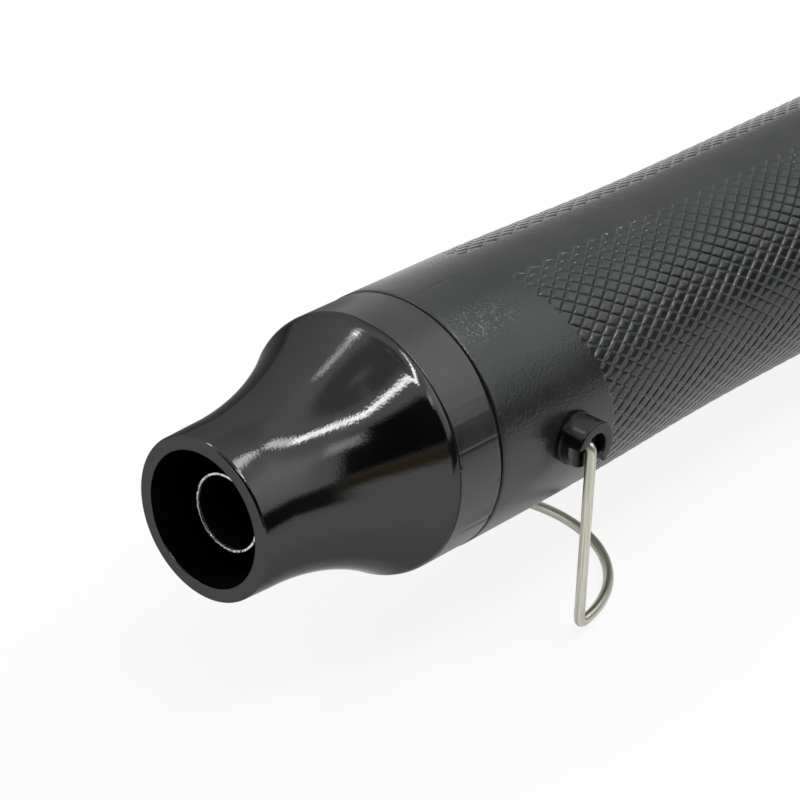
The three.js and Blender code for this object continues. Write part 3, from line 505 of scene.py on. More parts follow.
class Graph:
    """Adds nodes and links to one node tree."""

    def __init__(self, tree: Tree) -> None:
        """Keep the tree."""
        self.tree = tree

    @classmethod
    def emptied(cls, owner: Material | bpy.types.World) -> "Graph":
        """Start on the emptied node tree of a material or world.

        Args:
            owner: the material or world.

        Returns:
            The graph of its tree.
        """
        owner.use_nodes = True
        owner.node_tree.nodes.clear()
        return cls(owner.node_tree)

    def node(self, kind: str, inputs: dict | None = None, **settings: object) -> Node:
        """Add a node.

        Args:
            kind: the node's type name.
            inputs: for each input's name or number, a value or an output to link.
            settings: properties of the node.

        Returns:
            The new node.
        """
        made = self.tree.nodes.new(kind)
        for name, value in settings.items():
            setattr(made, name, value)
        self.feed(made, inputs or {})
        return made

    def feed(self, node: Node, inputs: dict) -> None:
        """Set or link inputs of a node.

        Args:
            node: the node.
            inputs: for each input's name or number, a value or an output to link.
        """
        for key, value in inputs.items():
            if isinstance(value, Socket):
                self.tree.links.new(value, node.inputs[key])
            else:
                node.inputs[key].default_value = value

    def place(self) -> Socket:
        """Object coordinates."""
        return self.node("ShaderNodeTexCoord").outputs["Object"]

    def mask(self, name: str) -> Socket:
        """A number kept at the mesh's points."""
        return self.node("ShaderNodeAttribute", attribute_name=name).outputs["Fac"]

    def span(self, value: Socket, old: Pair, new: Pair) -> Socket:
        """Carry a value smoothly from one span of numbers to another."""
        inputs = {"Value": value, "From Min": old[0], "From Max": old[1], "To Min": new[0], "To Max": new[1]}
        return self.node("ShaderNodeMapRange", inputs, interpolation_type="SMOOTHSTEP").outputs[0]

    def math(self, operation: str, first: Socket | float, second: Socket | float) -> Socket:
        """Work out one sum of two numbers or sockets."""
        return self.node("ShaderNodeMath", {0: first, 1: second}, operation=operation).outputs[0]

    def plus(self, base: Socket, value: Socket, share: float) -> Socket:
        """Add a share of a value to a base."""
        return self.math("ADD", base, self.math("MULTIPLY", value, share))

    def blend(self, share: Socket, first: object, second: object) -> Socket:
        """Mix two colours by a share."""
        inputs = {0: share, 6: self.opaque(first), 7: self.opaque(second)}
        return self.node("ShaderNodeMix", inputs, data_type="RGBA").outputs[2]

    @staticmethod
    def opaque(colour: object) -> object:
        """Give a plain colour its fourth number."""
        return (*colour, 1.0) if isinstance(colour, tuple) else colour

    def effect(self, group: Tree, place: Socket, size: float) -> bpy.types.bpy_prop_collection:
        """Add a shared effect, read at a place with a number of cells per metre, and give its outputs."""
        inputs = {"Place": place, "Cells per metre": size}
        return self.node("ShaderNodeGroup", inputs, node_tree=group).outputs

    def end(self, kind: str, share: Socket, first: Node, second: Node) -> None:
        """Mix two shaders by a share and give them to an output node of the kind."""
        mixed = self.node("ShaderNodeMixShader", {0: share, 1: first.outputs[0], 2: second.outputs[0]})
        self.node(kind, {"Surface": mixed.outputs[0]})


class Effects:
    """Shader node groups that several finishes share.

    The soft and slow cells are shares of the grain's own number, and the soft height is a share of its own.
    """

    SOFT_CELLS = 0.6
    SOFT_HEIGHT = 0.5
    SLOW_CELLS = 0.03

    def __init__(self) -> None:
        """Build each group once; streaks are patches read at a place that is squeezed along the piece."""
        self.grain = self._grain()
        self.smudges = self._patches("smudges", (0.38, 0.68), {"Detail": 4.0, "Distortion": 0.6})
        self.streaks = self._patches("drawn_streaks", (0.3, 0.7), {"Detail": 3.0, "Roughness": 0.6})

    @staticmethod
    def _group(name: str, outputs: Sequence[str]) -> tuple[Graph, Socket, Socket]:
        """Start a group that is given a place and a number of cells per metre.

        Args:
            name: the group's name.
            outputs: names of its outputs.

        Returns:
            The group's graph, its place and its number of cells.
        """
        tree = bpy.data.node_groups.new(name, "ShaderNodeTree")
        tree.interface.new_socket(name="Place", in_out="INPUT", socket_type="NodeSocketVector")
        tree.interface.new_socket(name="Cells per metre", in_out="INPUT", socket_type="NodeSocketFloat")
        for output in outputs:
            tree.interface.new_socket(name=output, in_out="OUTPUT", socket_type="NodeSocketFloat")
        graph = Graph(tree)
        given = graph.node("NodeGroupInput").outputs
        return graph, given[0], given[1]

    def _grain(self) -> Tree:
        """Leathery mould grain: fine noise and soft cells for the height, slow noise for the tint.

        Returns:
            The group.
        """
        graph, place, size = self._group("mould_grain", ["Height", "Tint"])
        noise = "ShaderNodeTexNoise"
        fine = graph.node(noise, {"Vector": place, "Scale": size, "Detail": 2.0, "Roughness": 0.55})
        soft_size = graph.math("MULTIPLY", size, self.SOFT_CELLS)
        soft = graph.node("ShaderNodeTexVoronoi", {"Vector": place, "Scale": soft_size})
        slow_size = graph.math("MULTIPLY", size, self.SLOW_CELLS)
        slow = graph.node(noise, {"Vector": place, "Scale": slow_size, "Detail": 3.0})
        graph.node("NodeGroupOutput", {
            "Height": graph.plus(fine.outputs[0], soft.outputs["Distance"], self.SOFT_HEIGHT),
            "Tint": graph.span(slow.outputs[0], (0.3, 0.7), UNIT),
        })
        return graph.tree

    def _patches(self, name: str, edge: Pair, settings: dict[str, float]) -> Tree:
        """Soft patches: noise carried from an edge of its values to 0 and 1.

        Args:
            name: the group's name.
            edge: values of the noise between which a patch begins.
            settings: the noise's inputs.

        Returns:
            The group.
        """
        graph, place, size = self._group(name, ["Mask"])
        noise = graph.node("ShaderNodeTexNoise", {"Vector": place, "Scale": size, **settings})
        graph.node("NodeGroupOutput", {"Mask": graph.span(noise.outputs[0], edge, UNIT)})
        return graph.tree


EFFECTS = Effects()


def new_material(name: str) -> tuple[Material, Graph, Node]:
    """Start a material.

    Args:
        name: the material's name.

    Returns:
        The material, its graph and its Principled shader.
    """
    material = bpy.data.materials.new(name)
    material.use_nodes = True
    return material, Graph(material.node_tree), material.node_tree.nodes["Principled BSDF"]


@dataclass(frozen=True)
class Moulded:
    """A moulded or enamelled finish: grain in the height, slow tint, handling marks in the gloss.

    The shine runs from specular, seen square, to edge, seen at a slant. Pads are the knurled panels, crests
    the worn tops of the grain, and the throat is the nozzle's matt inside.
    """

    name: str
    dark: Triple
    light: Triple
    gloss: Pair
    grain: float = 2600.0
    depth: float = 0.02
    strength: float = 0.5
    smudge: float = 45.0
    specular: float = 0.5
    edge: float = 0.5
    falloff: Pair = (0.45, 0.95)
    tone: Triple = (1.0, 1.0, 1.0)
    streak: float = 0.0
    streak_squeeze: float = 0.012
    streak_tint: float = 0.3
    streak_rough: float = 0.04
    panel: bool = False
    pad_grain: float = 0.35
    pad_rough: float = -0.08
    crest: Pair = (0.82, 0.97)
    crest_rough: float = 0.12
    crest_index: float = 2.0
    throat: bool = False
    throat_rough: float = 0.7

    def build(self) -> Material:
        """Make the material.

        Returns:
            The material.
        """
        material, graph, shader = new_material(self.name)
        place = graph.place()
        grain = graph.effect(EFFECTS.grain, place, self.grain)
        marks = graph.effect(EFFECTS.smudges, place, self.smudge)
        height, tint = grain["Height"], grain["Tint"]
        rough = graph.span(marks["Mask"], UNIT, self.gloss)
        graph.feed(shader, {"Specular IOR Level": self.specular, "Specular Tint": (*self.tone, 1.0)})
        if self.edge != self.specular:
            facing = graph.node("ShaderNodeLayerWeight", {"Blend": 0.5}).outputs["Facing"]
            level = graph.span(facing, self.falloff, (self.specular, self.edge))
            if self.throat:
                level = graph.math("MULTIPLY", level, graph.span(graph.mask("inside"), UNIT, (1.0, 0.0)))
            graph.feed(shader, {"Specular IOR Level": level})
        if self.streak:
            squeezed = graph.node("ShaderNodeMapping", {
                "Vector": place, "Rotation": (0.0, -TOOL.lean, 0.0), "Scale": (self.streak_squeeze, 1.0, 1.0),
            })
            lines = graph.effect(EFFECTS.streaks, squeezed.outputs[0], self.streak)["Mask"]
            tint = graph.plus(graph.math("MULTIPLY", tint, 1.0 - self.streak_tint), lines, self.streak_tint)
            rough = graph.plus(rough, lines, self.streak_rough)
        if self.panel:
            pads = graph.mask("panel")
            height = graph.math("MULTIPLY", height, graph.span(pads, UNIT, (1.0, self.pad_grain)))
            rough = graph.plus(rough, pads, self.pad_rough)
            crests = graph.math("MULTIPLY", graph.span(grain["Height"], self.crest, UNIT), graph.mask("worn"))
            graph.feed(shader, {
                "Coat Weight": crests, "Coat Roughness": self.crest_rough, "Coat IOR": self.crest_index,
            })
        if self.throat:
            rough = graph.plus(rough, graph.mask("inside"), self.throat_rough)
        bump = {"Height": height, "Strength": self.strength, "Distance": self.depth * MM}
        graph.feed(shader, {
            "Base Color": graph.blend(tint, self.dark, self.light),
            "Roughness": rough,
            "Normal": graph.node("ShaderNodeBump", bump).outputs[0],
        })
        return material


@dataclass(frozen=True)
class Metal:
    """A bare metal finish with streaks along its run, or mottled where it has none.

    With a colour beyond the rim, only the points in the mask of the rim are bare, and the rest takes that
    colour, rougher and with little shine.
    """

    name: str
    dark: Triple
    light: Triple
    gloss: Pair
    streak: float = 1500.0
    mark_share: float = 0.2
    depth: float = 0.02
    strength: float = 0.15
    run: bool = False
    beyond_rim: Triple | None = None
    beyond_rim_rough: float = 0.35
    beyond_rim_shine: float = 0.03

    def build(self) -> Material:
        """Make the material.

        Returns:
            The material.
        """
        material, graph, shader = new_material(self.name)
        if self.run:
            place = graph.node("ShaderNodeAttribute", attribute_name="run").outputs["Vector"]
        else:
            place = graph.place()
        lines = graph.effect(EFFECTS.streaks, place, self.streak)["Mask"]
        marks = graph.effect(EFFECTS.smudges, place, self.streak * self.mark_share)["Mask"]
        colour = graph.blend(lines, self.dark, self.light)
        rough = graph.span(marks, UNIT, self.gloss)
        graph.feed(shader, {"Metallic": 1.0})
        if self.beyond_rim is not None:
            bare = graph.mask("rim")
            colour = graph.blend(bare, self.beyond_rim, colour)
            rough = graph.math("ADD", rough, graph.span(bare, UNIT, (self.beyond_rim_rough, 0.0)))
            graph.feed(shader, {
                "Metallic": graph.span(bare, UNIT, UNIT), "Specular IOR Level": self.beyond_rim_shine,
            })
        bump = {"Height": lines, "Strength": self.strength, "Distance": self.depth * MM}
        graph.feed(shader, {
            "Base Color": colour,
            "Roughness": rough,
            "Normal": graph.node("ShaderNodeBump", bump).outputs[0],
        })
        return material


Finish = Moulded | Metal

FINISHES: dict[str, Finish] = {
    "nozzle_black": Moulded(
        "nozzle_enamel", (0.0015, 0.0015, 0.0015), (0.0035, 0.0035, 0.0034), (0.06, 0.1), grain=3200.0,
        depth=0.018, specular=0.7, edge=0.05, falloff=(0.2, 0.68), throat=True),
    "collar_black": Moulded(
        "collar_satin", (0.014, 0.0143, 0.0142), (0.024, 0.0245, 0.0242), (0.2, 0.27), grain=5000.0,
        depth=0.012, strength=0.3, specular=0.6, edge=0.35, streak=900.0, tone=(0.97, 1.0, 0.985)),
    "grip_black": Moulded(
        "grip_satin", (0.013, 0.0136, 0.0135), (0.02, 0.0208, 0.0205), (0.22, 0.28), grain=3000.0,
        depth=0.08, strength=0.55, edge=0.4, panel=True, tone=(0.93, 1.0, 0.975)),
    "hub_black": Moulded(
        "hub_gloss", (0.002, 0.002, 0.002), (0.005, 0.005, 0.005), (0.12, 0.2), grain=4500.0,
        strength=0.4, specular=0.4, edge=0.2),
    "dark_plastic": Moulded("dark_moulding", (0.012, 0.0125, 0.0135), (0.022, 0.023, 0.025), (0.42, 0.52)),
    "fan_plastic": Moulded("fan_moulding", (0.035, 0.042, 0.055), (0.06, 0.07, 0.085), (0.4, 0.5)),
    "rubber": Moulded("gland_rubber", (0.01, 0.01, 0.0105), (0.018, 0.018, 0.019), (0.62, 0.75), depth=0.04),
    "mica": Moulded("mica_sheet", (0.38, 0.28, 0.15), (0.54, 0.42, 0.25), (0.45, 0.6), grain=900.0),
    "ceramic": Moulded("heater_ceramic", (0.62, 0.59, 0.52), (0.74, 0.71, 0.64), (0.6, 0.7)),
    "ferrite": Moulded("sintered_iron", (0.045, 0.045, 0.05), (0.08, 0.08, 0.085), (0.6, 0.75)),
    "board_green": Moulded("board_lacquer", (0.022, 0.11, 0.045), (0.035, 0.16, 0.07), (0.3, 0.4)),
    "capacitor_red": Moulded("dipped_resin", (0.3, 0.065, 0.024), (0.4, 0.1, 0.04), (0.25, 0.35)),
    "lead_white": Moulded(
        "lead_sleeve", (0.62, 0.6, 0.54), (0.76, 0.74, 0.68), (0.7, 0.8), grain=1500.0, depth=0.1),
    "lead_red": Moulded("lead_silicone", (0.34, 0.025, 0.02), (0.45, 0.04, 0.032), (0.5, 0.6)),
    "wire_steel": Metal(
        "stand_wire", (0.44, 0.436, 0.37), (0.72, 0.715, 0.61), (0.33, 0.46), streak=2600.0, run=True),
    "tube_steel": Metal("heater_steel", (0.42, 0.42, 0.41), (0.62, 0.62, 0.6), (0.3, 0.42)),
    "motor_steel": Metal("plated_steel", (0.5, 0.5, 0.5), (0.68, 0.68, 0.66), (0.28, 0.38)),
    "nichrome": Metal("heater_wire", (0.18, 0.17, 0.155), (0.3, 0.28, 0.26), (0.4, 0.55)),
    "brass": Metal("bare_brass", (0.55, 0.41, 0.17), (0.72, 0.57, 0.28), (0.25, 0.38)),
    "copper": Metal("bare_copper", (0.5, 0.25, 0.13), (0.68, 0.38, 0.23), (0.28, 0.4)),
    "bronze": Metal("sintered_bronze", (0.36, 0.25, 0.11), (0.52, 0.38, 0.19), (0.4, 0.55)),
    "screw_steel": Metal("black_oxide", (0.09, 0.09, 0.095), (0.15, 0.15, 0.155), (0.3, 0.42)),
}
# Bare steel at the outlet tube's front rim and near-black behind it.
RIM_STEEL = Metal(
    "outlet_steel", (0.5, 0.5, 0.48), (0.8, 0.8, 0.77), (0.22, 0.32), streak=2500.0,
    beyond_rim=(0.004, 0.004, 0.004))
MARK_WHITE = Moulded("switch_mark", (0.68, 0.68, 0.66), (0.78, 0.78, 0.76), (0.4, 0.5), depth=0.005)


class Finishing:
    """Gives pieces their materials and bodies."""

    def __init__(self) -> None:
        """Start with no material made."""
        self.made: dict[str, Material] = {}

    def paint(self, piece: Piece, finish: Finish) -> None:
        """Give a piece a finish, whose material is made at its first use.

        Args:
            piece: the piece.
            finish: the finish.
        """
        if finish.name not in self.made:
            self.made[finish.name] = finish.build()
        piece.data.materials.clear()
        piece.data.materials.append(self.made[finish.name])

    def dress(self, piece: Piece, slot: str, body: Body, nodes: Sequence[str] = (),
              finish: Finish | None = None, sharp: float = 32.0) -> None:
        """Finish a piece and let it stand for its solids.

        Args:
            piece: the piece.
            slot: the record's material slot.
            body: the body that it rides on.
            nodes: the solids that it stands for.
            finish: its finish where it differs from the slot's.
            sharp: edges over this many degrees stay sharp.
        """
        self.paint(piece, finish or FINISHES[slot])
        piece.data.shade_smooth()
        piece.data.set_sharp_from_angle(angle=math.radians(sharp))
        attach(piece, body.value)
        if nodes:
            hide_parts(*nodes)
        LOG.info("%s: %d faces on %s", piece.name, len(piece.data.polygons), body.value)

    def dress_solids(self, record: dict, nodes: dict[str, Piece]) -> None:
        """Give every solid that still shows its slot's material.

        Args:
            record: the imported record.
            nodes: the solids by name.
        """
        for row in record["subparts"]:
            node = nodes[row["node"]]
            if not node.hide_render:
                self.paint(node, FINISHES[row["material_slot"]])


@dataclass
class Nozzle:
    """The flared nozzle, the collar behind it and the steel outlet tube inside."""

    length: float = 33.0
    mouth: float = 13.2
    lip: float = 0.5
    inner_lip: float = 0.15
    neck_length: float = 5.3
    neck: float = 13.4
    shoulder: float = 4.1
    wall: float = 2.3
    skirt_end: float = 37.0
    skirt: float = 19.2
    skirt_wall: float = 1.8
    edge: float = 0.2
    collar: float = 21.38
    collar_front: float = 33.28
    collar_rear: float = 42.72
    collar_bore: float = 19.5
    # Roundings at the front, at the rear and inside.
    collar_edges: Triple = (0.16, 0.3, 0.1)
    collar_rows: int = 34
    # Front, rear and inner radius.
    rib: Triple = (37.3, 38.3, 16.0)
    # The mould marks fade between these depths under the collar's face.
    mark_depths: Pair = (0.3, 0.05)
    # Degrees left of the top, spread in degrees, and height.
    ridges: tuple[Triple, ...] = (
        (55.0, 0.9, 0.02), (61.6, 0.7, 0.015), (49.0, 1.2, 0.012), (73.2, 0.45, -0.07),
    )
    # Degrees, spread at the front, growth of the spread towards the rear, and height.
    drop: Four = (113.8, 0.25, 1.0, -0.1)
    # Shares run along the collar, from 0 at its front to 1 at its rear.
    drop_start: Pair = (0.15, 0.35)
    # Degrees, spread and height.
    nick: Triple = (92.0, 0.8, -0.16)
    # Place along the tool and spread.
    nick_place: Pair = (41.9, 0.35)
    # Degrees, spread and depth of the rear edge's draw.
    rear_gap: Triple = (68.0, 17.0, 0.5)
    rear_gap_share: Pair = (0.6, 1.0)
    # Degrees where the front gap starts, is full, starts to close and is closed.
    front_gap: Four = (45.0, 75.0, 79.0, 80.0)
    front_gap_depth: float = 0.4
    front_gap_share: Pair = (0.4, 0.0)
    tube_front: float = 5.0
    tube: float = 6.35
    tube_wall: float = 0.42
    tube_edge: float = 0.08
    tube_sag: float = 0.9
    rim_rows: Pair = (5.2, 5.45)
    # The rim is bare up to the first depth behind its front and dark from the second.
    rim_bare: Pair = (0.15, 0.4)
    rim_reach: float = 4.0
    # Height, waves a turn and phase.
    rim_waves: tuple[Triple, ...] = ((0.05, 5.0, 0.0), (0.03, 17.0, 1.0), (0.02, 41.0, 2.0))
    rim_dents: Triple = (0.04, 3.0, 0.5)
    # Start and end of the cone, and the roundings there.
    cone: Pair = (22.6, 31.6)
    cone_edges: Pair = (3.0, 2.0)
    sleeve: float = 14.1
    # Front, rear and radius.
    flange: Triple = (36.4, 37.0, 17.1)
    flange_edge: float = 0.1
    sides: int = 192
    collar_sides: int = 720
    tube_sides: int = 240

    def outline(self) -> Array:
        """Lip, straight neck, hollow flare, tangent shoulder and skirt, then the inside back to the lip.

        The flare and the shoulder share a tangent, so their radii add up to the radius of the one arc that
        would rise from the neck to the collar.

        Returns:
            The closed outline of x and radius.
        """
        rise, run = self.collar - self.neck, self.length - self.neck_length
        both = (run * run + rise * rise) / (2 * rise)
        flare, lean = both - self.shoulder, math.asin(run / both)
        centre = (self.neck_length, self.neck + flare)
        inner, bore, hole = flare + self.wall, self.skirt - self.skirt_wall, self.mouth - self.wall
        opening = math.acos((centre[1] - bore) / inner)
        return np.concatenate([
            arc((self.lip, self.mouth - self.lip), self.lip, np.pi, QUARTER, 9),
            arc(centre, flare, -QUARTER, lean - QUARTER, 56),
            arc((self.length, self.collar - self.shoulder), self.shoulder, QUARTER + lean, QUARTER, 20)[1:],
            arc((self.length, self.collar - self.edge), self.edge, QUARTER, 0.0, 5)[1:],
            [[self.length + self.edge, self.skirt], [self.skirt_end, self.skirt], [self.skirt_end, bore]],
            arc(centre, inner, opening - QUARTER, -QUARTER, 40),
            arc((self.inner_lip, hole + self.inner_lip), self.inner_lip, -QUARTER, -np.pi, 6),
        ])

    def inside(self, points: Array) -> Array:
        """Mark the inner wall behind the lip, which lies more than half the wall below the outer profile.

        Args:
            points: points of the nozzle, shaped (points, 3).

        Returns:
            1 on the inner wall and 0 elsewhere.
        """
        profile = self.outline()
        outer = profile[: np.argmax(profile[:, 0] > self.length) + 1]
        radius = np.hypot(points[:, 1], points[:, 2])
        below = np.interp(points[:, 0], outer[:, 0], outer[:, 1]) - radius
        lip_end = 0.95 * self.inner_lip
        return ((below > self.wall / 2) & (points[:, 0] > lip_end)).astype(float)

    def collar_outline(self) -> Array:
        """The collar's ring with small round edges and the rib that holds the nozzle's skirt.

        Returns:
            The closed outline of x and radius, with extra rows along the face for its marks.
        """
        front, rear, bore = self.collar_front, self.collar_rear, self.collar_bore
        front_edge, rear_edge, inner_edge = self.collar_edges
        rib_front, rib_rear, rib = self.rib
        ring = rounded([
            (front, self.collar, front_edge), (rear, self.collar, rear_edge), (rear, bore, inner_edge),
            (rib_rear, bore, 0.0), (rib_rear, rib, 0.0), (rib_front, rib, 0.0), (rib_front, bore, 0.0),
            (front, bore, inner_edge),
        ])
        top = np.flatnonzero(np.isclose(ring[:, 1], self.collar))
        x = np.linspace(ring[top[0], 0], ring[top[-1], 0], self.collar_rows)[1:-1]
        return np.insert(ring, top[0] + 1, np.column_stack([x, np.full_like(x, self.collar)]), axis=0)

    def collar_marks(self, x: Array, radius: Array, angle: Array) -> tuple[Array, Array]:
        """Mould marks: bell-shaped dips and ridges in the angle, and edges that draw back on the left.

        Args:
            x: places along the tool.
            radius: radii.
            angle: angles from the top towards the right.

        Returns:
            The marked x and radius.
        """
        left = np.degrees(2 * np.pi - angle)
        outer = smooth_step(*[self.collar - depth for depth in self.mark_depths], radius)
        share = np.clip((x - self.collar_front) / (self.collar_rear - self.collar_front), 0, 1)
        relief = sum(height * bell(left, at, spread) for at, spread, height in self.ridges)
        at, spread, growth, height = self.drop
        relief += height * bell(left, at, spread + growth * share**2) * smooth_step(*self.drop_start, share)
        at, spread, height = self.nick
        relief += height * bell(left, at, spread) * bell(x, *self.nick_place)
        at, spread, depth = self.rear_gap
        drawn = depth * bell(left, at, spread) * smooth_step(*self.rear_gap_share, share)
        start, full, closing, closed = self.front_gap
        opened = smooth_step(start, full, left) * smooth_step(closed, closing, left)
        opened *= self.front_gap_depth * smooth_step(*self.front_gap_share, share)
        return x + (opened - drawn) * outer, radius + relief * outer

    def tube_outline(self) -> Array:
        """A straight tube that opens as a cone into the sleeve over the heater, with a flange at the rear.

        Returns:
            The closed outline of x and radius.
        """
        outer, inner = self.tube, self.tube - self.tube_wall
        sleeve, seat = self.sleeve, self.sleeve - self.tube_wall
        start, end = self.cone
        start_edge, end_edge = self.cone_edges
        front, rear, flange = self.flange
        return rounded([
            (self.tube_front, outer, self.tube_edge), *[(x, outer, 0.0) for x in self.rim_rows],
            (start, outer, start_edge), (end, sleeve, end_edge), (front, sleeve, 0.0),
            (front, flange, self.flange_edge), (rear, flange, self.flange_edge), (rear, seat, 0.0),
            (end, seat, end_edge), (start, inner, start_edge),
            *[(x, inner, 0.0) for x in reversed(self.rim_rows)], (self.tube_front, inner, self.tube_edge),
        ])

    def tube_rim(self, x: Array, radius: Array, angle: Array) -> tuple[Array, Array]:
        """A sawn rim: small waves in x, strongest at the front end, on a tube whose front sags a little.

        Args:
            x: places along the tool.
            radius: radii.
            angle: angles from the top towards the right.

        Returns:
            The waved x and radius.
        """
        near = smooth_step(self.tube_front + self.rim_reach, self.tube_front, x)
        sag = self.tube_sag * np.clip((self.cone[0] - x) / (self.cone[0] - self.tube_front), 0, 1)
        wave = sum(height * np.sin(count * angle + phase) for height, count, phase in self.rim_waves)
        height, count, phase = self.rim_dents
        dents = height * np.sin(count * angle + phase)
        return x + near * np.abs(wave), radius + near * dents - sag * np.cos(angle)

    def build(self, finishing: Finishing) -> None:
        """Make the nozzle, the collar and the tube.

        Args:
            finishing: gives the pieces their materials and bodies.
        """
        body = make_piece("nozzle_body", turned(self.outline(), self.sides))
        finishing.dress(body, "nozzle_black", Body.TOOL, ["nozzle"])
        write_mask(body, "inside", self.inside(tool_points(body)))
        ring = turned(self.collar_outline(), self.collar_sides, self.collar_marks)
        collar = make_piece("collar_ring", ring)
        finishing.dress(collar, "collar_black", Body.TOOL, ["nozzle_collar"])
        tube = make_piece("outlet_pipe", turned(self.tube_outline(), self.tube_sides, self.tube_rim))
        finishing.dress(tube, "tube_steel", Body.TOOL, ["outlet_tube"], RIM_STEEL)
        bare, dark_depth = self.rim_bare
        write_mask(tube, "rim", smooth_step(dark_depth, bare, tool_points(tube)[:, 0] - self.tube_front))


@dataclass
class Grip:
    """The two grip shells, their knurled panels and their screws."""

    front: float = 42.9
    rear: float = 213.3
    # Radius and place of the full front, the waist and the tail.
    full: Pair = (21.5, 60.0)
    waist: Pair = (20.5, 113.0)
    tail: Pair = (21.0, 190.0)
    wall: float = 2.0
    # Front, outer radius and inner radius.
    spigot: Triple = (38.6, 19.2, 17.6)
    edge: float = 0.3
    edge_steps: int = 5
    front_rows: int = 14
    rear_rows: int = 34
    inner_rear: float = 205.0
    inner_rows: tuple[float, ...] = (165.0, 140.0, 113.0, 90.0, 60.0)
    parting: float = 0.012
    parting_dip: float = 0.07
    parting_open: Pair = (48.0, 52.0)
    parting_fade: float = 1.0
    diamond: float = 3.75
    diamonds_round: int = 52
    # Lattice rows of one diamond.
    cells: int = 10
    knurl_depth: float = 0.21
    # Half the width of a groove, in lattice rows.
    knurl_width: float = 2.1
    pillow: float = 0.02
    knurl_rows: Pair = (55.5, 173.0)
    band: float = 5.0
    panel_front: float = 70.3
    panel_rear: float = 161.0
    # Millimetres a degree, degrees over which the bow's vertex is round, and degrees of the vertex.
    panel_bow: float = 0.125
    panel_round: float = 8.0
    panel_vertex: float = 95.0
    panel_corner: float = 4.0
    panel_fade: Pair = (-0.35, 0.1)
    # Place, degrees left of the top, length and spread in degrees of the worn patch.
    worn: Four = (48.5, 26.0, 13.0, 14.0)
    # Front, rear and height of the flat under the switch.
    boss: Triple = (173.5, 201.7, 16.0)
    # Place, length and width.
    pocket: Triple = (187.6, 24.8, 16.6)
    pocket_corner: float = 0.8
    seat: float = 19.0
    # Length, width and corners.
    window: Triple = (22.0, 13.8, 0.5)
    hub_hole: float = 3.0
    hub_hole_start: float = 2.0
    posts: tuple[Pair, ...] = ((93.65, 13.6), (93.65, -13.6), (150.1, 13.6), (150.1, -13.6))
    post: float = 4.2
    screw_seat: float = 6.0
    screw_gap: float = 0.1
    sink: float = 2.9
    # Radius, height, and the roundings under and over the head.
    screw_head: Four = (2.6, 2.0, 0.1, 0.9)
    # Length, width, corners and depth of the cross recess.
    screw_cross: Four = (2.8, 0.6, 0.2, 1.1)
    screw_sides: int = 64

    @staticmethod
    def eased(x: Array, first: Pair, last: Pair) -> Array:
        """Half a cosine from one pair of radius and place to another."""
        share = np.clip((x - first[1]) / (last[1] - first[1]), 0, 1)
        return first[0] + (last[0] - first[0]) * (1 - np.cos(np.pi * share)) / 2

    def radius(self, x: Array) -> Array:
        """Outer radius: cosine eased from the full front to the waist and on to the tail."""
        front, rear = self.eased(x, self.full, self.waist), self.eased(x, self.waist, self.tail)
        return np.where(x < self.waist[1], front, rear)

    def panel(self, x: Array, angle: Array) -> Array:
        """Share of the knurl: 1 inside the panel, 0 outside.

        The panel keeps clear of the parting line by a band and ends in bowed edges; the distances to its
        edges join in a soft minimum, which rounds its corners.

        Args:
            x: places along the tool.
            angle: angles from the parting line on top, 0 to pi.

        Returns:
            The share, from 0 to 1.
        """
        aside = self.radius(x) * np.minimum(angle, np.pi - angle) - self.band
        degrees = np.degrees(angle) - self.panel_vertex
        bow = self.panel_bow * (np.hypot(degrees, self.panel_round) - self.panel_round)
        edges = np.stack([aside, x - self.panel_front + bow, self.panel_rear + bow - x])
        soft, limit = self.panel_corner / 3, 60
        nearest = -soft * np.log(np.exp(-np.clip(edges / soft, -limit, limit)).sum(0))
        return smooth_step(*self.panel_fade, nearest)

    def stations(self) -> tuple[Array, int, int]:
        """Places along the outside: round ends, plain stretches and the knurl's lattice between them.

        Returns:
            The places, and the first and last row of the lattice.
        """
        lattice = np.arange(*self.knurl_rows, self.diamond / self.cells)
        first, last = self.front + self.edge, self.rear - self.edge
        t = np.linspace(0, QUARTER, self.edge_steps)[:-1]
        ahead = np.concatenate([
            first - self.edge * np.cos(t), np.linspace(first, lattice[0], self.front_rows)[:-1],
        ])
        behind = np.concatenate([
            np.linspace(lattice[-1], last, self.rear_rows)[1:], last + self.edge * np.sin(t[1:]),
        ])
        return np.concatenate([ahead, lattice, behind]), len(ahead), len(ahead) + len(lattice) - 1

    def outer(self, x: Array, angle: Array, first: int, last: int) -> Array:
        """Outer radius with round ends, a short open stretch of the parting line and the knurl.

        Two families of grooves cross on the lattice where row plus column, or row less column, is a whole
        number of diamonds. A groove's depth falls with the square of the distance to its floor, and each
        diamond rises a little towards its middle.

        Args:
            x: places along the tool, one a row.
            angle: angles from the top, one a column.
            first: first row of the lattice.
            last: last row of the lattice.

        Returns:
            Radii, shaped (rows, columns).
        """
        radius = self.radius(x)
        for end, inward in ((self.front, 1), (self.rear, -1)):
            depth = np.clip(1 - (x - end) * inward / self.edge, 0, 1)
            radius = radius - self.edge * (1 - np.sqrt(1 - depth**2))
        row, column = np.arange(len(x))[:, None] - first, np.arange(len(angle))[None]
        away = np.minimum(self.apart(row + column), self.apart(row - column))
        knurl = self.knurl_depth * np.clip(1 - away / self.knurl_width, 0, 1) ** 2
        knurl += self.pillow * (1 - 2 * away / self.cells)
        share = self.panel(x[:, None], angle[None]) * ((row >= 0) & (row <= last - first))
        start, end = self.parting_open
        fade = self.parting_fade
        open_line = smooth_step(start - fade, start, x) * smooth_step(end + fade, end, x)
        return radius[:, None] - share * knurl - self.parting_dip * open_line[:, None] * (column == 0)

    def apart(self, line: Array) -> Array:
        """Lattice lines to the nearest groove of one family."""
        return np.minimum(line % self.cells, -line % self.cells)

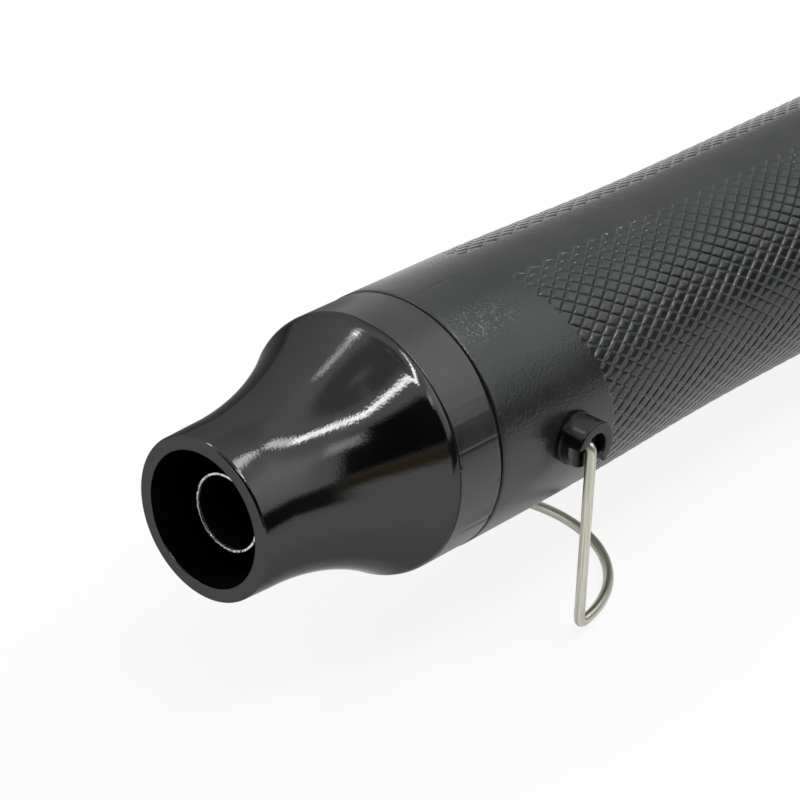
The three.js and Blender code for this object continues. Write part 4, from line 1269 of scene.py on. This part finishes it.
    def faces(self, rows: int, columns: int, first: int, last: int) -> list[Array]:
        """Faces of a half shell: triangles along the grooves, quads elsewhere, and two flat ends.

        Args:
            rows: points along the closed outline.
            columns: points round the half turn.
            first: first row of the lattice.
            last: last row of the lattice.

        Returns:
            Arrays of corner numbers.
        """
        grid = quads(rows, columns, wrap_rows=True).reshape(rows, columns - 1, 4)
        plain = np.concatenate([grid[:first], grid[last:]]).reshape(-1, 4)
        i, j = np.meshgrid(np.arange(last - first), np.arange(columns - 1), indexing="ij")
        rising = (self.apart(i + j + 1) < self.apart(i - j))[..., None]
        a, b, c, d = np.moveaxis(grid[first:last], -1, 0)
        one = np.where(rising, np.stack([a, b, d], -1), np.stack([a, b, c], -1))
        two = np.where(rising, np.stack([b, c, d], -1), np.stack([a, c, d], -1))
        ends = np.stack([np.arange(rows) * columns, (np.arange(rows) * columns + columns - 1)[::-1]])
        return [plain, one.reshape(-1, 3), two.reshape(-1, 3), ends]

    def half(self, side: Side) -> Skin:
        """One half shell: the closed outline of its wall carried through half a turn.

        The inside steps down to a flat under the switch, where the radius is the flat's height over the
        cosine of the angle.

        Args:
            side: the shell's side.

        Returns:
            The closed surface.
        """
        x, first, last = self.stations()
        columns = self.diamonds_round * self.cells // 2 + 1
        angle = np.linspace(0, np.pi, columns)
        start, end, flat = self.boss
        behind, ahead = [self.rear, self.inner_rear, end], [start, *self.inner_rows, self.front + self.wall]
        inner_x = np.array([*behind, end, start, *ahead])
        thick = np.array([False] * len(behind) + [True] * 2 + [False] * len(ahead))[:, None]
        bore = np.repeat((self.radius(inner_x) - self.wall)[:, None], columns, 1)
        least = 1e-3
        level = flat / np.maximum(np.cos(angle), least)
        nose, seat, hollow = self.spigot
        lip_x = np.array([self.front + self.wall, nose, nose, self.front])
        lip = np.repeat(np.array([hollow, hollow, seat, seat])[:, None], columns, 1)
        rows_x = np.concatenate([x, inner_x, lip_x])
        inside = np.where(thick, np.minimum(bore, level), bore)
        radius = np.concatenate([self.outer(x, angle, first, last), inside, lip])
        y = side.value * np.maximum(radius * np.sin(angle), self.parting)
        points = np.stack([np.repeat(rows_x[:, None], columns, 1), y, radius * np.cos(angle)], -1)
        return Skin(points.reshape(-1, 3), self.faces(len(rows_x), columns, first, last))

    def shell(self, side: Side) -> Piece:
        """One half shell with its pivot hole, switch pocket and, on the right, its screw posts.

        Args:
            side: the shell's side.

        Returns:
            The shell, with masks of its panel and of its worn patch.
        """
        piece = make_piece(f"grip_{side.name.lower()}", self.half(side))
        far = 2 * self.full[0]
        if side is Side.RIGHT:
            for x, z in self.posts:
                self.add_post(piece, x, z, far)
        x, length, width = self.pocket
        pocket = rectangle(length, width, self.pocket_corner)
        combine(piece, prism(pocket + [x, 0.0], 2, self.seat, far), Cut.REMOVE)
        combine(piece, prism(rectangle(*self.window) + [x, 0.0], 2, 0.0, far), Cut.REMOVE)
        reach = sorted((side.value * self.hub_hole_start, side.value * far))
        combine(piece, bar_across(*PIVOT, *reach, self.hub_hole), Cut.REMOVE)
        spots = tool_points(piece)
        angle = np.arctan2(-spots[:, 1], spots[:, 2])
        write_mask(piece, "panel", self.panel(spots[:, 0], np.abs(angle)))
        place, turn, length, spread = self.worn
        apart = np.hypot((spots[:, 0] - place) / length, (np.degrees(angle) - turn) / spread)
        write_mask(piece, "worn", smooth_step(1.0, 0.0, apart))
        return piece

    def add_post(self, piece: Piece, x: float, z: float, far: float) -> None:
        """Join a screw post to the right shell and sink the screw's hole into it.

        The post is a circle carried from the parting to the middle of the round wall.

        Args:
            piece: the shell, which is changed.
            x: place of the post along the tool.
            z: height of the post.
            far: a distance across that lies outside the shell.
        """
        ring = circle(ROUND_SIDES) * self.post + [x, z]
        reach = np.sqrt((self.radius(ring[:, 0]) - self.wall / 2) ** 2 - ring[:, 1] ** 2)
        ends = [layer(ring, 1, self.parting), np.insert(ring, 1, reach, axis=1)]
        combine(piece, stack(np.stack(ends)), Cut.ADD)
        combine(piece, bar_across(x, z, self.screw_seat, far, self.sink), Cut.REMOVE)

    def screw(self, number: int, x: float, z: float) -> Piece:
        """A pan-headed screw with a cross recess, deep in its post.

        Args:
            number: the screw's number.
            x: place of the screw along the tool.
            z: height of the screw.

        Returns:
            The screw's head.
        """
        head, height, under_edge, top_edge = self.screw_head
        under, core = self.screw_seat + self.screw_gap, 0.02
        top = under + height
        outline = rounded([
            (under, core, 0.0), (under, head, under_edge), (top, head, top_edge), (top, core, 0.0),
        ])
        piece = make_piece(f"grip_screw_{number}", turned_across(outline, x, z, self.screw_sides))
        length, width, corner, depth = self.screw_cross
        for size in ((length, width), (width, length)):
            combine(piece, prism(rectangle(*size, corner) + [x, z], 1, top - depth, top + PAST), Cut.REMOVE)
        return piece

    def build(self, finishing: Finishing) -> None:
        """Make both shells and the screws.

        Args:
            finishing: gives the pieces their materials and bodies.
        """
        for side in Side:
            solid = f"shell_{side.name.lower()}"
            finishing.dress(self.shell(side), "grip_black", Body.TOOL, [solid], sharp=28.0)
        for number, (x, z) in enumerate(self.posts, 1):
            piece = self.screw(number, x, z)
            finishing.dress(piece, "screw_steel", Body.TOOL, [f"shell_screw_{number}"])


@dataclass
class Tail:
    """The slotted rear cap and the rubber gland of the cord inlet."""

    front: float = 213.6
    rear: float = 233.3
    radius: float = 20.99
    wall: float = 2.0
    round: float = 4.0
    step_edge: float = 0.25
    small_edge: float = 0.2
    # Front, outer radius and inner radius.
    spigot: Triple = (208.1, 18.7, 17.1)
    hole: float = 5.2
    # Number, inner radius, outer radius and width.
    end_slots: tuple[int, float, float, float] = (12, 9.4, 15.6, 2.4)
    # Number, length and width.
    side_slots: tuple[int, float, float] = (12, 8.0, 2.2)
    # Rounding of a slot's ends as a share of its width.
    slot_round: float = 0.48
    # How far the slots' cuts run past the wall.
    end_slot_past: float = 0.5
    side_slot_past: float = 1.5
    sides: int = 192
    # Inner end, neck, face of the cap and outer end.
    gland: Four = (229.0, 231.0, 233.35, 236.3)
    # Bore, waist and bead.
    gland_radii: Triple = (3.6, 5.0, 7.4)
    gland_sides: int = 96

    def cap(self) -> Piece:
        """A round-edged cup about the axis, with radial slots in its end and lengthwise ones in its side.

        Returns:
            The cap, with an empty mask of the panels.
        """
        nose, outer, inner = self.spigot
        wall, depth, floor = self.radius - self.wall, self.rear - self.wall, self.front + self.wall
        outline = rounded([
            (nose, outer, self.small_edge), (self.front, outer, 0.0),
            (self.front, self.radius, self.step_edge), (self.rear, self.radius, self.round),
            (self.rear, self.hole, self.small_edge), (depth, self.hole, 0.0),
            (depth, wall, self.round - self.wall), (floor, wall, 0.0), (floor, inner, 0.0),
            (nose, inner, 0.0),
        ], steps=10)
        piece = make_piece("tail_cap", turned(outline, self.sides))
        count, low, high, width = self.end_slots
        slot = rectangle(high - low, width, width * self.slot_round)[:, ::-1] + [0.0, (low + high) / 2]
        past = self.end_slot_past
        combine(piece, ring_of(prism(slot, 0, depth - past, self.rear + past), count), Cut.REMOVE)
        count, length, width = self.side_slots
        slot = rectangle(length, width, width * self.slot_round) + [(floor + depth) / 2, 0.0]
        past = self.side_slot_past
        combine(piece, ring_of(prism(slot, 2, wall - past, self.radius + PAST), count), Cut.REMOVE)
        write_mask(piece, "panel", np.zeros(len(piece.data.vertices)))
        return piece

    def gland_ring(self) -> Piece:
        """A waisted rubber ring turned about the axis, with a soft outer bead.

        Returns:
            The ring.
        """
        inside, neck, face, rear = self.gland
        bore, waist, bead = self.gland_radii
        outline = rounded([
            (inside, bead, 0.4), (neck, bead, 0.2), (neck, waist, 0.0), (face, waist, 0.0), (face, bead, 0.2),
            (rear, bead, 1.4), (rear, bore, 0.5), (inside, bore, 0.3),
        ], steps=8)
        return make_piece("cord_grommet", turned(outline, self.gland_sides))

    def build(self, finishing: Finishing) -> None:
        """Make the cap and the gland."""
        finishing.dress(self.cap(), "grip_black", Body.TOOL, ["rear_cap"])
        finishing.dress(self.gland_ring(), "rubber", Body.TOOL, ["cord_gland"])


@dataclass
class Switch:
    """The rocker switch on top of the grip."""

    place: float = 187.6
    # Length and width.
    bezel: Pair = (24.2, 16.0)
    body: Pair = (21.4, 13.2)
    cavity: Pair = (19.2, 11.0)
    # Underside, seat on the grip, top, and floor of the cavity.
    heights: Four = (6.3, 19.05, 20.9, 13.7)
    pivot: float = 18.7
    rocker: Pair = (17.6, 10.4)
    rocker_edge: float = 0.45
    tilt: float = 9.0
    rise: float = 2.9
    dip: float = 1.0
    dip_power: float = 1.6
    skirt: float = 0.6
    # Length and depth.
    keel: Pair = (8.0, 3.0)
    mark_place: float = 5.4
    # Bottom and top over the paddle.
    mark_lift: Pair = (-0.05, 0.03)
    # Length, width and corners.
    mark_bar: Triple = (0.5, 3.2, 0.2)
    # Outer and inner radius.
    mark_ring: Pair = (1.6, 1.15)
    # Share of the bar left open at its middle, too small to be seen.
    mark_hole: float = 0.02

    def housing(self) -> Piece:
        """A stack of round-cornered rectangles: the body, the bezel over it, and down into the cavity.

        Returns:
            The housing.
        """
        under, seat, top, floor = self.heights
        bezel, cavity = np.array(self.bezel), np.array(self.cavity)
        levels = [
            (self.body, 0.5, under), (self.body, 0.5, seat), (bezel, 1.0, seat), (bezel, 1.0, top - 0.5),
            (bezel - 0.3, 0.9, top - 0.15), (bezel - 0.9, 0.8, top), (cavity + 0.3, 0.6, top),
            (cavity, 0.5, top - 0.2), (cavity, 0.5, floor),
        ]
        rings = [layer(rectangle(*size, corner) + [self.place, 0.0], 2, z) for size, corner, z in levels]
        return make_piece("switch_housing", stack(np.stack(rings)))

    def about_pivot(self, points: Array) -> Array:
        """Turn points about the rocker's pivot by its tilt, front end up, and put them in place."""
        return tilted(points, self.tilt) + [self.place, 0.0, self.pivot]

    def hollow(self, x: Array) -> Array:
        """Height of the paddle's hollow top: its dip grows towards the middle by a power of x."""
        return self.rise - self.dip * (1 - np.abs(x / (self.rocker[0] / 2)) ** self.dip_power)

    def paddle(self) -> Piece:
        """A side outline with a hollow top carried across the rocker's width.

        Returns:
            The paddle.
        """
        end, keel, half = self.rocker[0] / 2, self.keel[0] / 2, self.rocker[1] / 2
        x = np.linspace(end, -end, 33)
        low = [[-end, self.skirt], [-keel, -self.keel[1]], [keel, -self.keel[1]], [end, self.skirt]]
        skin = prism(np.concatenate([np.column_stack([x, self.hollow(x)]), low]), 1, -half, half)
        piece = make_piece("switch_paddle", Skin(self.about_pivot(skin.points), skin.faces))
        bevel(piece, self.rocker_edge)
        return piece

    def mark(self, name: str, outline: Array, hole: Array, middle: float) -> Piece:
        """A thin printed mark that follows the paddle's hollow top.

        Args:
            name: the piece's name.
            outline: outer edge in x and y, about the mark's middle.
            hole: inner edge with as many points.
            middle: place of the mark along the paddle.

        Returns:
            The mark.
        """
        edges = np.stack([outline, outline, hole, hole])
        bottom, top = self.mark_lift
        x = edges[..., 0] + middle
        z = self.hollow(x) + np.array([bottom, top, top, bottom])[:, None]
        points = self.about_pivot(np.stack([x, edges[..., 1], z], -1))
        return make_piece(name, Skin(points.reshape(-1, 3), [quads(4, len(outline), True, True)]))

    def build(self, finishing: Finishing) -> None:
        """Make the housing, the rocker and its two generic marks.

        Args:
            finishing: gives the pieces their materials and bodies.
        """
        finishing.dress(self.housing(), "dark_plastic", Body.TOOL, ["switch_body"])
        finishing.dress(self.paddle(), "collar_black", Body.ROCKER, ["switch_rocker"])
        bar, ring = rectangle(*self.mark_bar), circle(ROUND_SIDES)
        outer, inner = self.mark_ring
        marks = [
            self.mark("mark_on", bar, bar * self.mark_hole, -self.mark_place),
            self.mark("mark_off", ring * outer, ring * inner, self.mark_place),
        ]
        for mark in marks:
            finishing.dress(mark, "collar_black", Body.ROCKER, finish=MARK_WHITE)


@dataclass
class Stand:
    """The two pivot hubs and the bent wire."""

    seat: float = 21.55
    # Radius and thickness.
    flange: Pair = (4.45, 0.75)
    # Radius and outer end.
    hub: Pair = (4.2, 26.1)
    hub_sides: int = 128
    # Radius and inner end.
    stem: Pair = (2.7, 18.3)
    bore: float = 1.2
    # Radius and floor.
    recess: Pair = (2.3, 23.9)
    # Degrees of the leg's swing that are cut away, from the mouth's side downwards.
    room: Pair = (7.0, 108.5)
    wire: float = 0.886
    wire_sides: int = 24
    # Share by which the streaks' place is squeezed along the wire.
    streak_squeeze: float = 0.03
    bend: float = 1.6
    leg: float = 33.05
    leg_offset: float = 25.1
    leg_lean: float = 0.7
    pin_gap: float = 0.1
    foot_depth: float = 23.8

    def hub_piece(self, side: Side) -> Piece:
        """A flanged hub about the pivot, with a stepped bore and a sector cut away for the leg's swing.

        Args:
            side: the hub's side.

        Returns:
            The hub.
        """
        radius, face = self.hub
        flange, sheet = self.flange
        stem, end = self.stem
        hollow, floor = self.recess
        outline = rounded([
            (end, self.bore, 0.0), (end, stem, 0.2), (self.seat, stem, 0.0), (self.seat, flange, 0.15),
            (self.seat + sheet, flange, 0.12), (self.seat + sheet, radius, 0.05), (face, radius, 0.3),
            (face, hollow, 0.2), (floor, hollow, 0.1), (floor, self.bore, 0.1),
        ], steps=6)
        skin = turned_across(outline * [side.value, 1.0], *PIVOT, self.hub_sides)
        piece = make_piece(f"pivot_{side.name.lower()}", skin)
        sector = prism(self.sector(flange + PAST), 1, side.value * floor, side.value * (face + PAST))
        combine(piece, sector, Cut.REMOVE)
        return piece

    def sector(self, reach: float) -> Array:
        """The room that the leg's swing takes: an arc between two slots, with the bore's circle at its point.

        Args:
            reach: radius of the arc.

        Returns:
            The outline in x and z.
        """
        front, rear = np.radians(180 + np.array(self.room))
        rim = arc(PIVOT, reach, front, rear, 25)
        aside = self.bore * np.array([[-np.sin(rear), np.cos(rear)], [np.sin(front), -np.cos(front)]])
        point = arc(PIVOT, self.bore, rear + QUARTER, front + 3 * QUARTER, 25)
        return np.concatenate([rim[:1] + aside[1], rim, rim[-1:] + aside[0], point])

    @staticmethod
    def curve(first: Array, corner: Array, last: Array, steps: int) -> Array:
        """A bend drawn by a quadratic curve, without its last point."""
        t = np.linspace(0, 1, steps + 1)[:-1, None]
        return (1 - t) ** 2 * first + 2 * t * (1 - t) * corner + t**2 * last

    def path(self) -> Array:
        """The wire's line about its pivot: pin, bend, leg, bend, foot arc, and the same back up.

        The foot is an arc through both leg ends whose far side is the foot's depth behind them. A straight
        stretch is a curve whose corner lies half way.

        Returns:
            The points, shaped (points, 3).
        """
        reach, depth = self.leg_offset, self.foot_depth
        radius = (reach**2 + depth**2) / (2 * depth)
        middle = depth - radius
        start = math.acos((self.bend - middle) / radius)
        foot = layer(arc((middle, 0.0), radius, -start, start, 160), 2, -self.leg)
        pin, above, elbow, upper, lower, heel = layer(np.array([
            [-self.stem[1] - self.pin_gap, 0.0], [self.bend - reach, 0.0], [-reach, 0.0],
            [-reach, -self.bend], [-reach, self.bend - self.leg], [-reach, -self.leg],
        ]), 0, 0.0)
        left = np.concatenate([
            self.curve(pin, (pin + above) / 2, above, 10), self.curve(above, elbow, upper, 16),
            self.curve(upper, (upper + lower) / 2, lower, 60), self.curve(lower, heel, foot[0], 16),
        ])
        return np.concatenate([left, foot, left[::-1] * [1.0, -1.0, 1.0]])

    def wire_piece(self) -> Piece:
        """The bent wire: a circle along its line, which leans a little from the pivot, foot towards the tail.

        Returns:
            The wire, with a place along and across it for its streaks.
        """
        path, hint = self.path(), unit(np.array([1.0, 0.0, 1.0]))
        line = tilted(path, -self.leg_lean) + [PIVOT[0], 0.0, PIVOT[1]]
        skin = swept(line, self.wire, self.wire_sides, tilted(hint, -self.leg_lean))
        piece = make_piece("stand_bail", skin)
        run = np.concatenate([[0], np.cumsum(np.linalg.norm(np.diff(path, axis=0), axis=1))])
        across = self.wire * circle(self.wire_sides)
        places = np.stack(np.broadcast_arrays(*across.T[:, None], self.streak_squeeze * run[:, None]), -1)
        attribute = piece.data.attributes.new("run", "FLOAT_VECTOR", "POINT")
        attribute.data.foreach_set("vector", (places * MM).astype(np.float32).ravel())
        return piece

    def build(self, finishing: Finishing) -> None:
        """Make the hubs and the wire.

        Args:
            finishing: gives the pieces their materials and bodies.
        """
        for side in Side:
            solid = f"stand_hub_{side.name.lower()}"
            finishing.dress(self.hub_piece(side), "hub_black", Body.TOOL, [solid])
        finishing.dress(self.wire_piece(), "wire_steel", Body.STAND, ["stand_wire"])


def add_stage(name: str, points: Array, faces: Array, material: Material) -> Piece:
    """Make an object of the stage, which is no part of the tool.

    Args:
        name: the object's name.
        points: its points in the row frame, in metres.
        faces: corner numbers of its faces.
        material: its material.

    Returns:
        The object.
    """
    mesh = bpy.data.meshes.new(name)
    mesh.from_pydata(points.tolist(), [], faces.tolist())
    mesh.materials.append(material)
    made = add_object(name, mesh)
    return made


def add_posed(data: bpy.types.ID, axes: Sequence[Array], place: Array) -> Piece:
    """Put a lamp or a camera into the scene.

    Args:
        data: the lamp or camera.
        axes: directions of its own x, y and z.
        place: where it stands, in metres.

    Returns:
        The object, named as its data.
    """
    pose = np.eye(4)
    pose[:3, :3] = np.stack(axes, 1)
    pose[:3, 3] = place
    made = add_object(data.name, data)
    made.matrix_world = Matrix(pose.tolist())
    return made


@dataclass(frozen=True)
class Lamp:
    """A soft lamp between two points, given from the nozzle in metres."""

    start: Triple
    end: Triple
    brightness: float
    width: float = 0.045


@dataclass(frozen=True)
class Card:
    """A studio card: part of an ellipsoid, with soft edges, that the camera does not see.

    Azimuth runs from the left side towards the tail and elevation up from the level, both in degrees. A card
    for mirrors only gives no light and no shade.
    """

    name: str
    azimuth: Pair
    elevation: Pair
    low: Triple
    high: Triple
    radii: Triple = (0.65, 0.65, 0.65)
    centre: Triple = (-0.095, 0.0, 0.035)
    fade: float = 6.0
    mirror_only: bool = False
    grid: tuple[int, int] = (49, 33)

    def build(self) -> None:
        """Make the card: sines and cosines of a grid of both angles, with a mask that falls to its edges."""
        rows, columns = self.grid
        (first, last), (bottom, top) = self.azimuth, self.elevation
        steps = np.linspace(first, last, rows), np.linspace(bottom, top, columns)
        azimuth, elevation = np.meshgrid(*steps, indexing="ij")
        a, e = np.radians(azimuth), np.radians(elevation)
        ways = np.stack([np.sin(a) * np.cos(e), -np.cos(a) * np.cos(e), np.sin(e)], -1)
        points = np.array(self.centre) + np.array(self.radii) * ways
        card = add_stage(self.name, points.reshape(-1, 3), quads(rows, columns), self.material())
        card.visible_camera = card.visible_transmission = False
        card.visible_diffuse = card.visible_shadow = not self.mirror_only
        inside = np.minimum.reduce([azimuth - first, last - azimuth, elevation - bottom, top - elevation])
        write_mask(card, "solid", smooth_step(0.0, self.fade, inside))
        write_mask(card, "rise", (elevation - bottom) / (top - bottom))

    def material(self) -> Material:
        """A plain glow that runs from the low to the high colour and lets the room through at its edges.

        Returns:
            The material.
        """
        material = bpy.data.materials.new(self.name)
        graph = Graph.emptied(material)
        colour = graph.opaque(self.low)
        if self.low != self.high:
            colour = graph.blend(graph.mask("rise"), self.low, self.high)
        glow = graph.node("ShaderNodeEmission", {"Color": colour, "Strength": 1.0})
        clear = graph.node("ShaderNodeBsdfTransparent")
        graph.end("ShaderNodeOutputMaterial", graph.mask("solid"), clear, glow)
        return material


@dataclass
class Studio:
    """A white table in a white room, strip lamps, bright and dark cards and the photograph's camera."""

    target: Triple = (-0.095, 0.0, 0.035)
    lamps: tuple[Lamp, ...] = (
        Lamp((-0.365, -0.1, 0.5), (0.03, -0.29, 0.5), 15.0),
        Lamp((0.03, -0.29, 0.5), (0.29, -0.15, 0.5), 15.0),
        Lamp((0.285, -0.15, 0.5), (0.385, -0.015, 0.5), 6.0, 0.06),
        Lamp((-0.03, 0.28, 0.5), (-0.15, 0.27, 0.5), 22.0),
        Lamp((0.13, 0.26, 0.5), (-0.03, 0.28, 0.5), 3.5),
    )
    cards: tuple[Card, ...] = (
        Card("card_front", (-118.0, 20.0), (8.0, 52.0), same(0.012), same(0.012)),
        Card("card_warm", (-118.0, 20.0), (-3.0, 14.0), (0.3, 0.21, 0.09), (0.2, 0.14, 0.06), same(0.6)),
        Card("card_haze", (4.0, 30.0), (35.0, 50.0), same(3.0), same(3.0), same(0.6), fade=7.5),
        Card("card_side", (-20.0, 80.0), (-12.0, 16.0), same(0.04), same(0.04), (0.32, 0.16, 0.16),
             centre=(0.03, 0.0, 0.035)),
        Card("card_tail", (5.0, 85.0), (-10.0, 31.0), same(0.04), same(0.04), (0.25, 0.165, 0.17),
             centre=(0.06, 0.0, 0.035), fade=8.0),
        Card("card_bright", (24.0, 88.0), (6.0, 50.0), same(1.1), same(1.9), fade=14.0),
        Card("card_back", (98.0, 215.0), (-2.5, 55.0), same(0.35), same(0.85), same(0.7)),
        Card("card_far", (128.0, 215.0), (-5.0, 57.0), same(0.68), same(0.95), same(0.68), mirror_only=True),
        Card("card_low", (130.0, 182.0), (-19.0, 15.0), same(0.24), same(0.24), same(0.1), fade=4.0,
             mirror_only=True),
        Card("card_top", (0.0, 360.0), (68.0, 89.9), same(0.5), same(0.45), same(0.75)),
    )
    # The camera's place and axes in the tool's frame.
    eye: Triple = (-262.3, -265.9, 222.9)
    right: Triple = (0.67236, -0.73917, 0.03957)
    up: Triple = (0.32881, 0.34612, 0.87868)
    lens: float = 133.4
    sensor: float = 36.0
    clip: Pair = (0.01, 20.0)
    ambient: float = 0.62
    floor_radius: float = 2.5
    floor_sides: int = 96
    floor_drop: float = 0.0002
    floor_paint: float = 0.9
    # The floor is shaded up to the first distance and plain from the second.
    floor_near: Pair = (0.12, 0.3)
    # Share of the shaded floor, seen straight and seen in a mirror.
    floor_shares: Pair = (0.12, 0.6)

    def camera(self) -> None:
        """Put the camera where the photograph was taken from."""
        right = unit(TOOL.turn(self.right))
        up = square_to(TOOL.turn(self.up), right)
        data = bpy.data.cameras.new("camera")
        data.lens, data.sensor_width = self.lens, self.sensor
        data.clip_start, data.clip_end = self.clip
        bpy.context.scene.camera = add_posed(data, [right, up, np.cross(right, up)], TOOL.place(self.eye))

    def hang(self, number: int, lamp: Lamp) -> None:
        """Hang a lamp facing the nozzle; its power is its brightness times its area and pi.

        Args:
            number: the lamp's number.
            lamp: the lamp.
        """
        target = np.array(self.target)
        start, end = target + lamp.start, target + lamp.end
        middle, length = (start + end) / 2, np.linalg.norm(end - start)
        data = bpy.data.lights.new(f"lamp_{number}", "AREA")
        data.shape, data.size, data.size_y = "RECTANGLE", length, lamp.width
        data.energy = lamp.brightness * math.pi * length * lamp.width
        along = unit(end - start)
        back = square_to(unit(middle - target), along)
        made = add_posed(data, [along, np.cross(back, along), back], middle)
        made.visible_camera = False

    def world(self) -> None:
        """White to the camera, to reflections and through clear pieces, and a softer white as light."""
        world = bpy.data.worlds.new("studio")
        bpy.context.scene.world = world
        graph = Graph.emptied(world)
        soft, white = (
            graph.node("ShaderNodeBackground", {"Color": (1.0, 1.0, 1.0, 1.0), "Strength": strength})
            for strength in (self.ambient, 1.0)
        )
        graph.end("ShaderNodeOutputWorld", self.seen(graph), soft, white)

    @staticmethod
    def seen(graph: Graph) -> Socket:
        """1 for rays of the camera, of reflections and through clear pieces.

        Args:
            graph: the graph to add it to.

        Returns:
            The number.
        """
        ray = graph.node("ShaderNodeLightPath").outputs
        direct = graph.math("MAXIMUM", ray["Is Camera Ray"], ray["Is Transmission Ray"])
        return graph.math("MAXIMUM", direct, ray["Is Glossy Ray"])

    def floor(self) -> None:
        """A round white table: shaded near the object, to keep its shadow, and plain white further out."""
        material = bpy.data.materials.new("table_white")
        graph = Graph.emptied(material)
        away = graph.node("ShaderNodeVectorMath", {0: graph.place()}, operation="LENGTH").outputs["Value"]
        mirrored = graph.node("ShaderNodeLightPath").outputs["Is Glossy Ray"]
        share = graph.span(mirrored, UNIT, self.floor_shares)
        near = graph.math("MULTIPLY", graph.span(away, self.floor_near, (1.0, 0.0)), share)
        plain = graph.math("MULTIPLY", self.seen(graph), graph.math("SUBTRACT", 1.0, near))
        paint = graph.node("ShaderNodeBsdfDiffuse", {"Color": graph.opaque(same(self.floor_paint))})
        glow = graph.node("ShaderNodeEmission", {"Color": (1.0, 1.0, 1.0, 1.0), "Strength": 1.0})
        graph.end("ShaderNodeOutputMaterial", plain, paint, glow)
        rim = layer(circle(self.floor_sides) * self.floor_radius, 2, -self.floor_drop)
        add_stage("table", rim, np.arange(self.floor_sides)[None], material)

    def build(self) -> None:
        """Set the stage."""
        bpy.context.scene.view_settings.view_transform = "Standard"
        self.camera()
        for number, lamp in enumerate(self.lamps, 1):
            self.hang(number, lamp)
        for card in self.cards:
            card.build()
        self.world()
        self.floor()


def main() -> None:
    """Build every sub-assembly, dress the inner solids and set the stage."""
    logging.basicConfig(level=logging.INFO, format="%(name)s %(message)s")
    finishing = Finishing()
    for part in (Nozzle(), Grip(), Tail(), Switch(), Stand()):
        LOG.info("building %s", type(part).__name__)
        part.build(finishing)
    finishing.dress_solids(frame["record"], frame["nodes"])
    Studio().build()


if __name__ == "__main__":
    main()
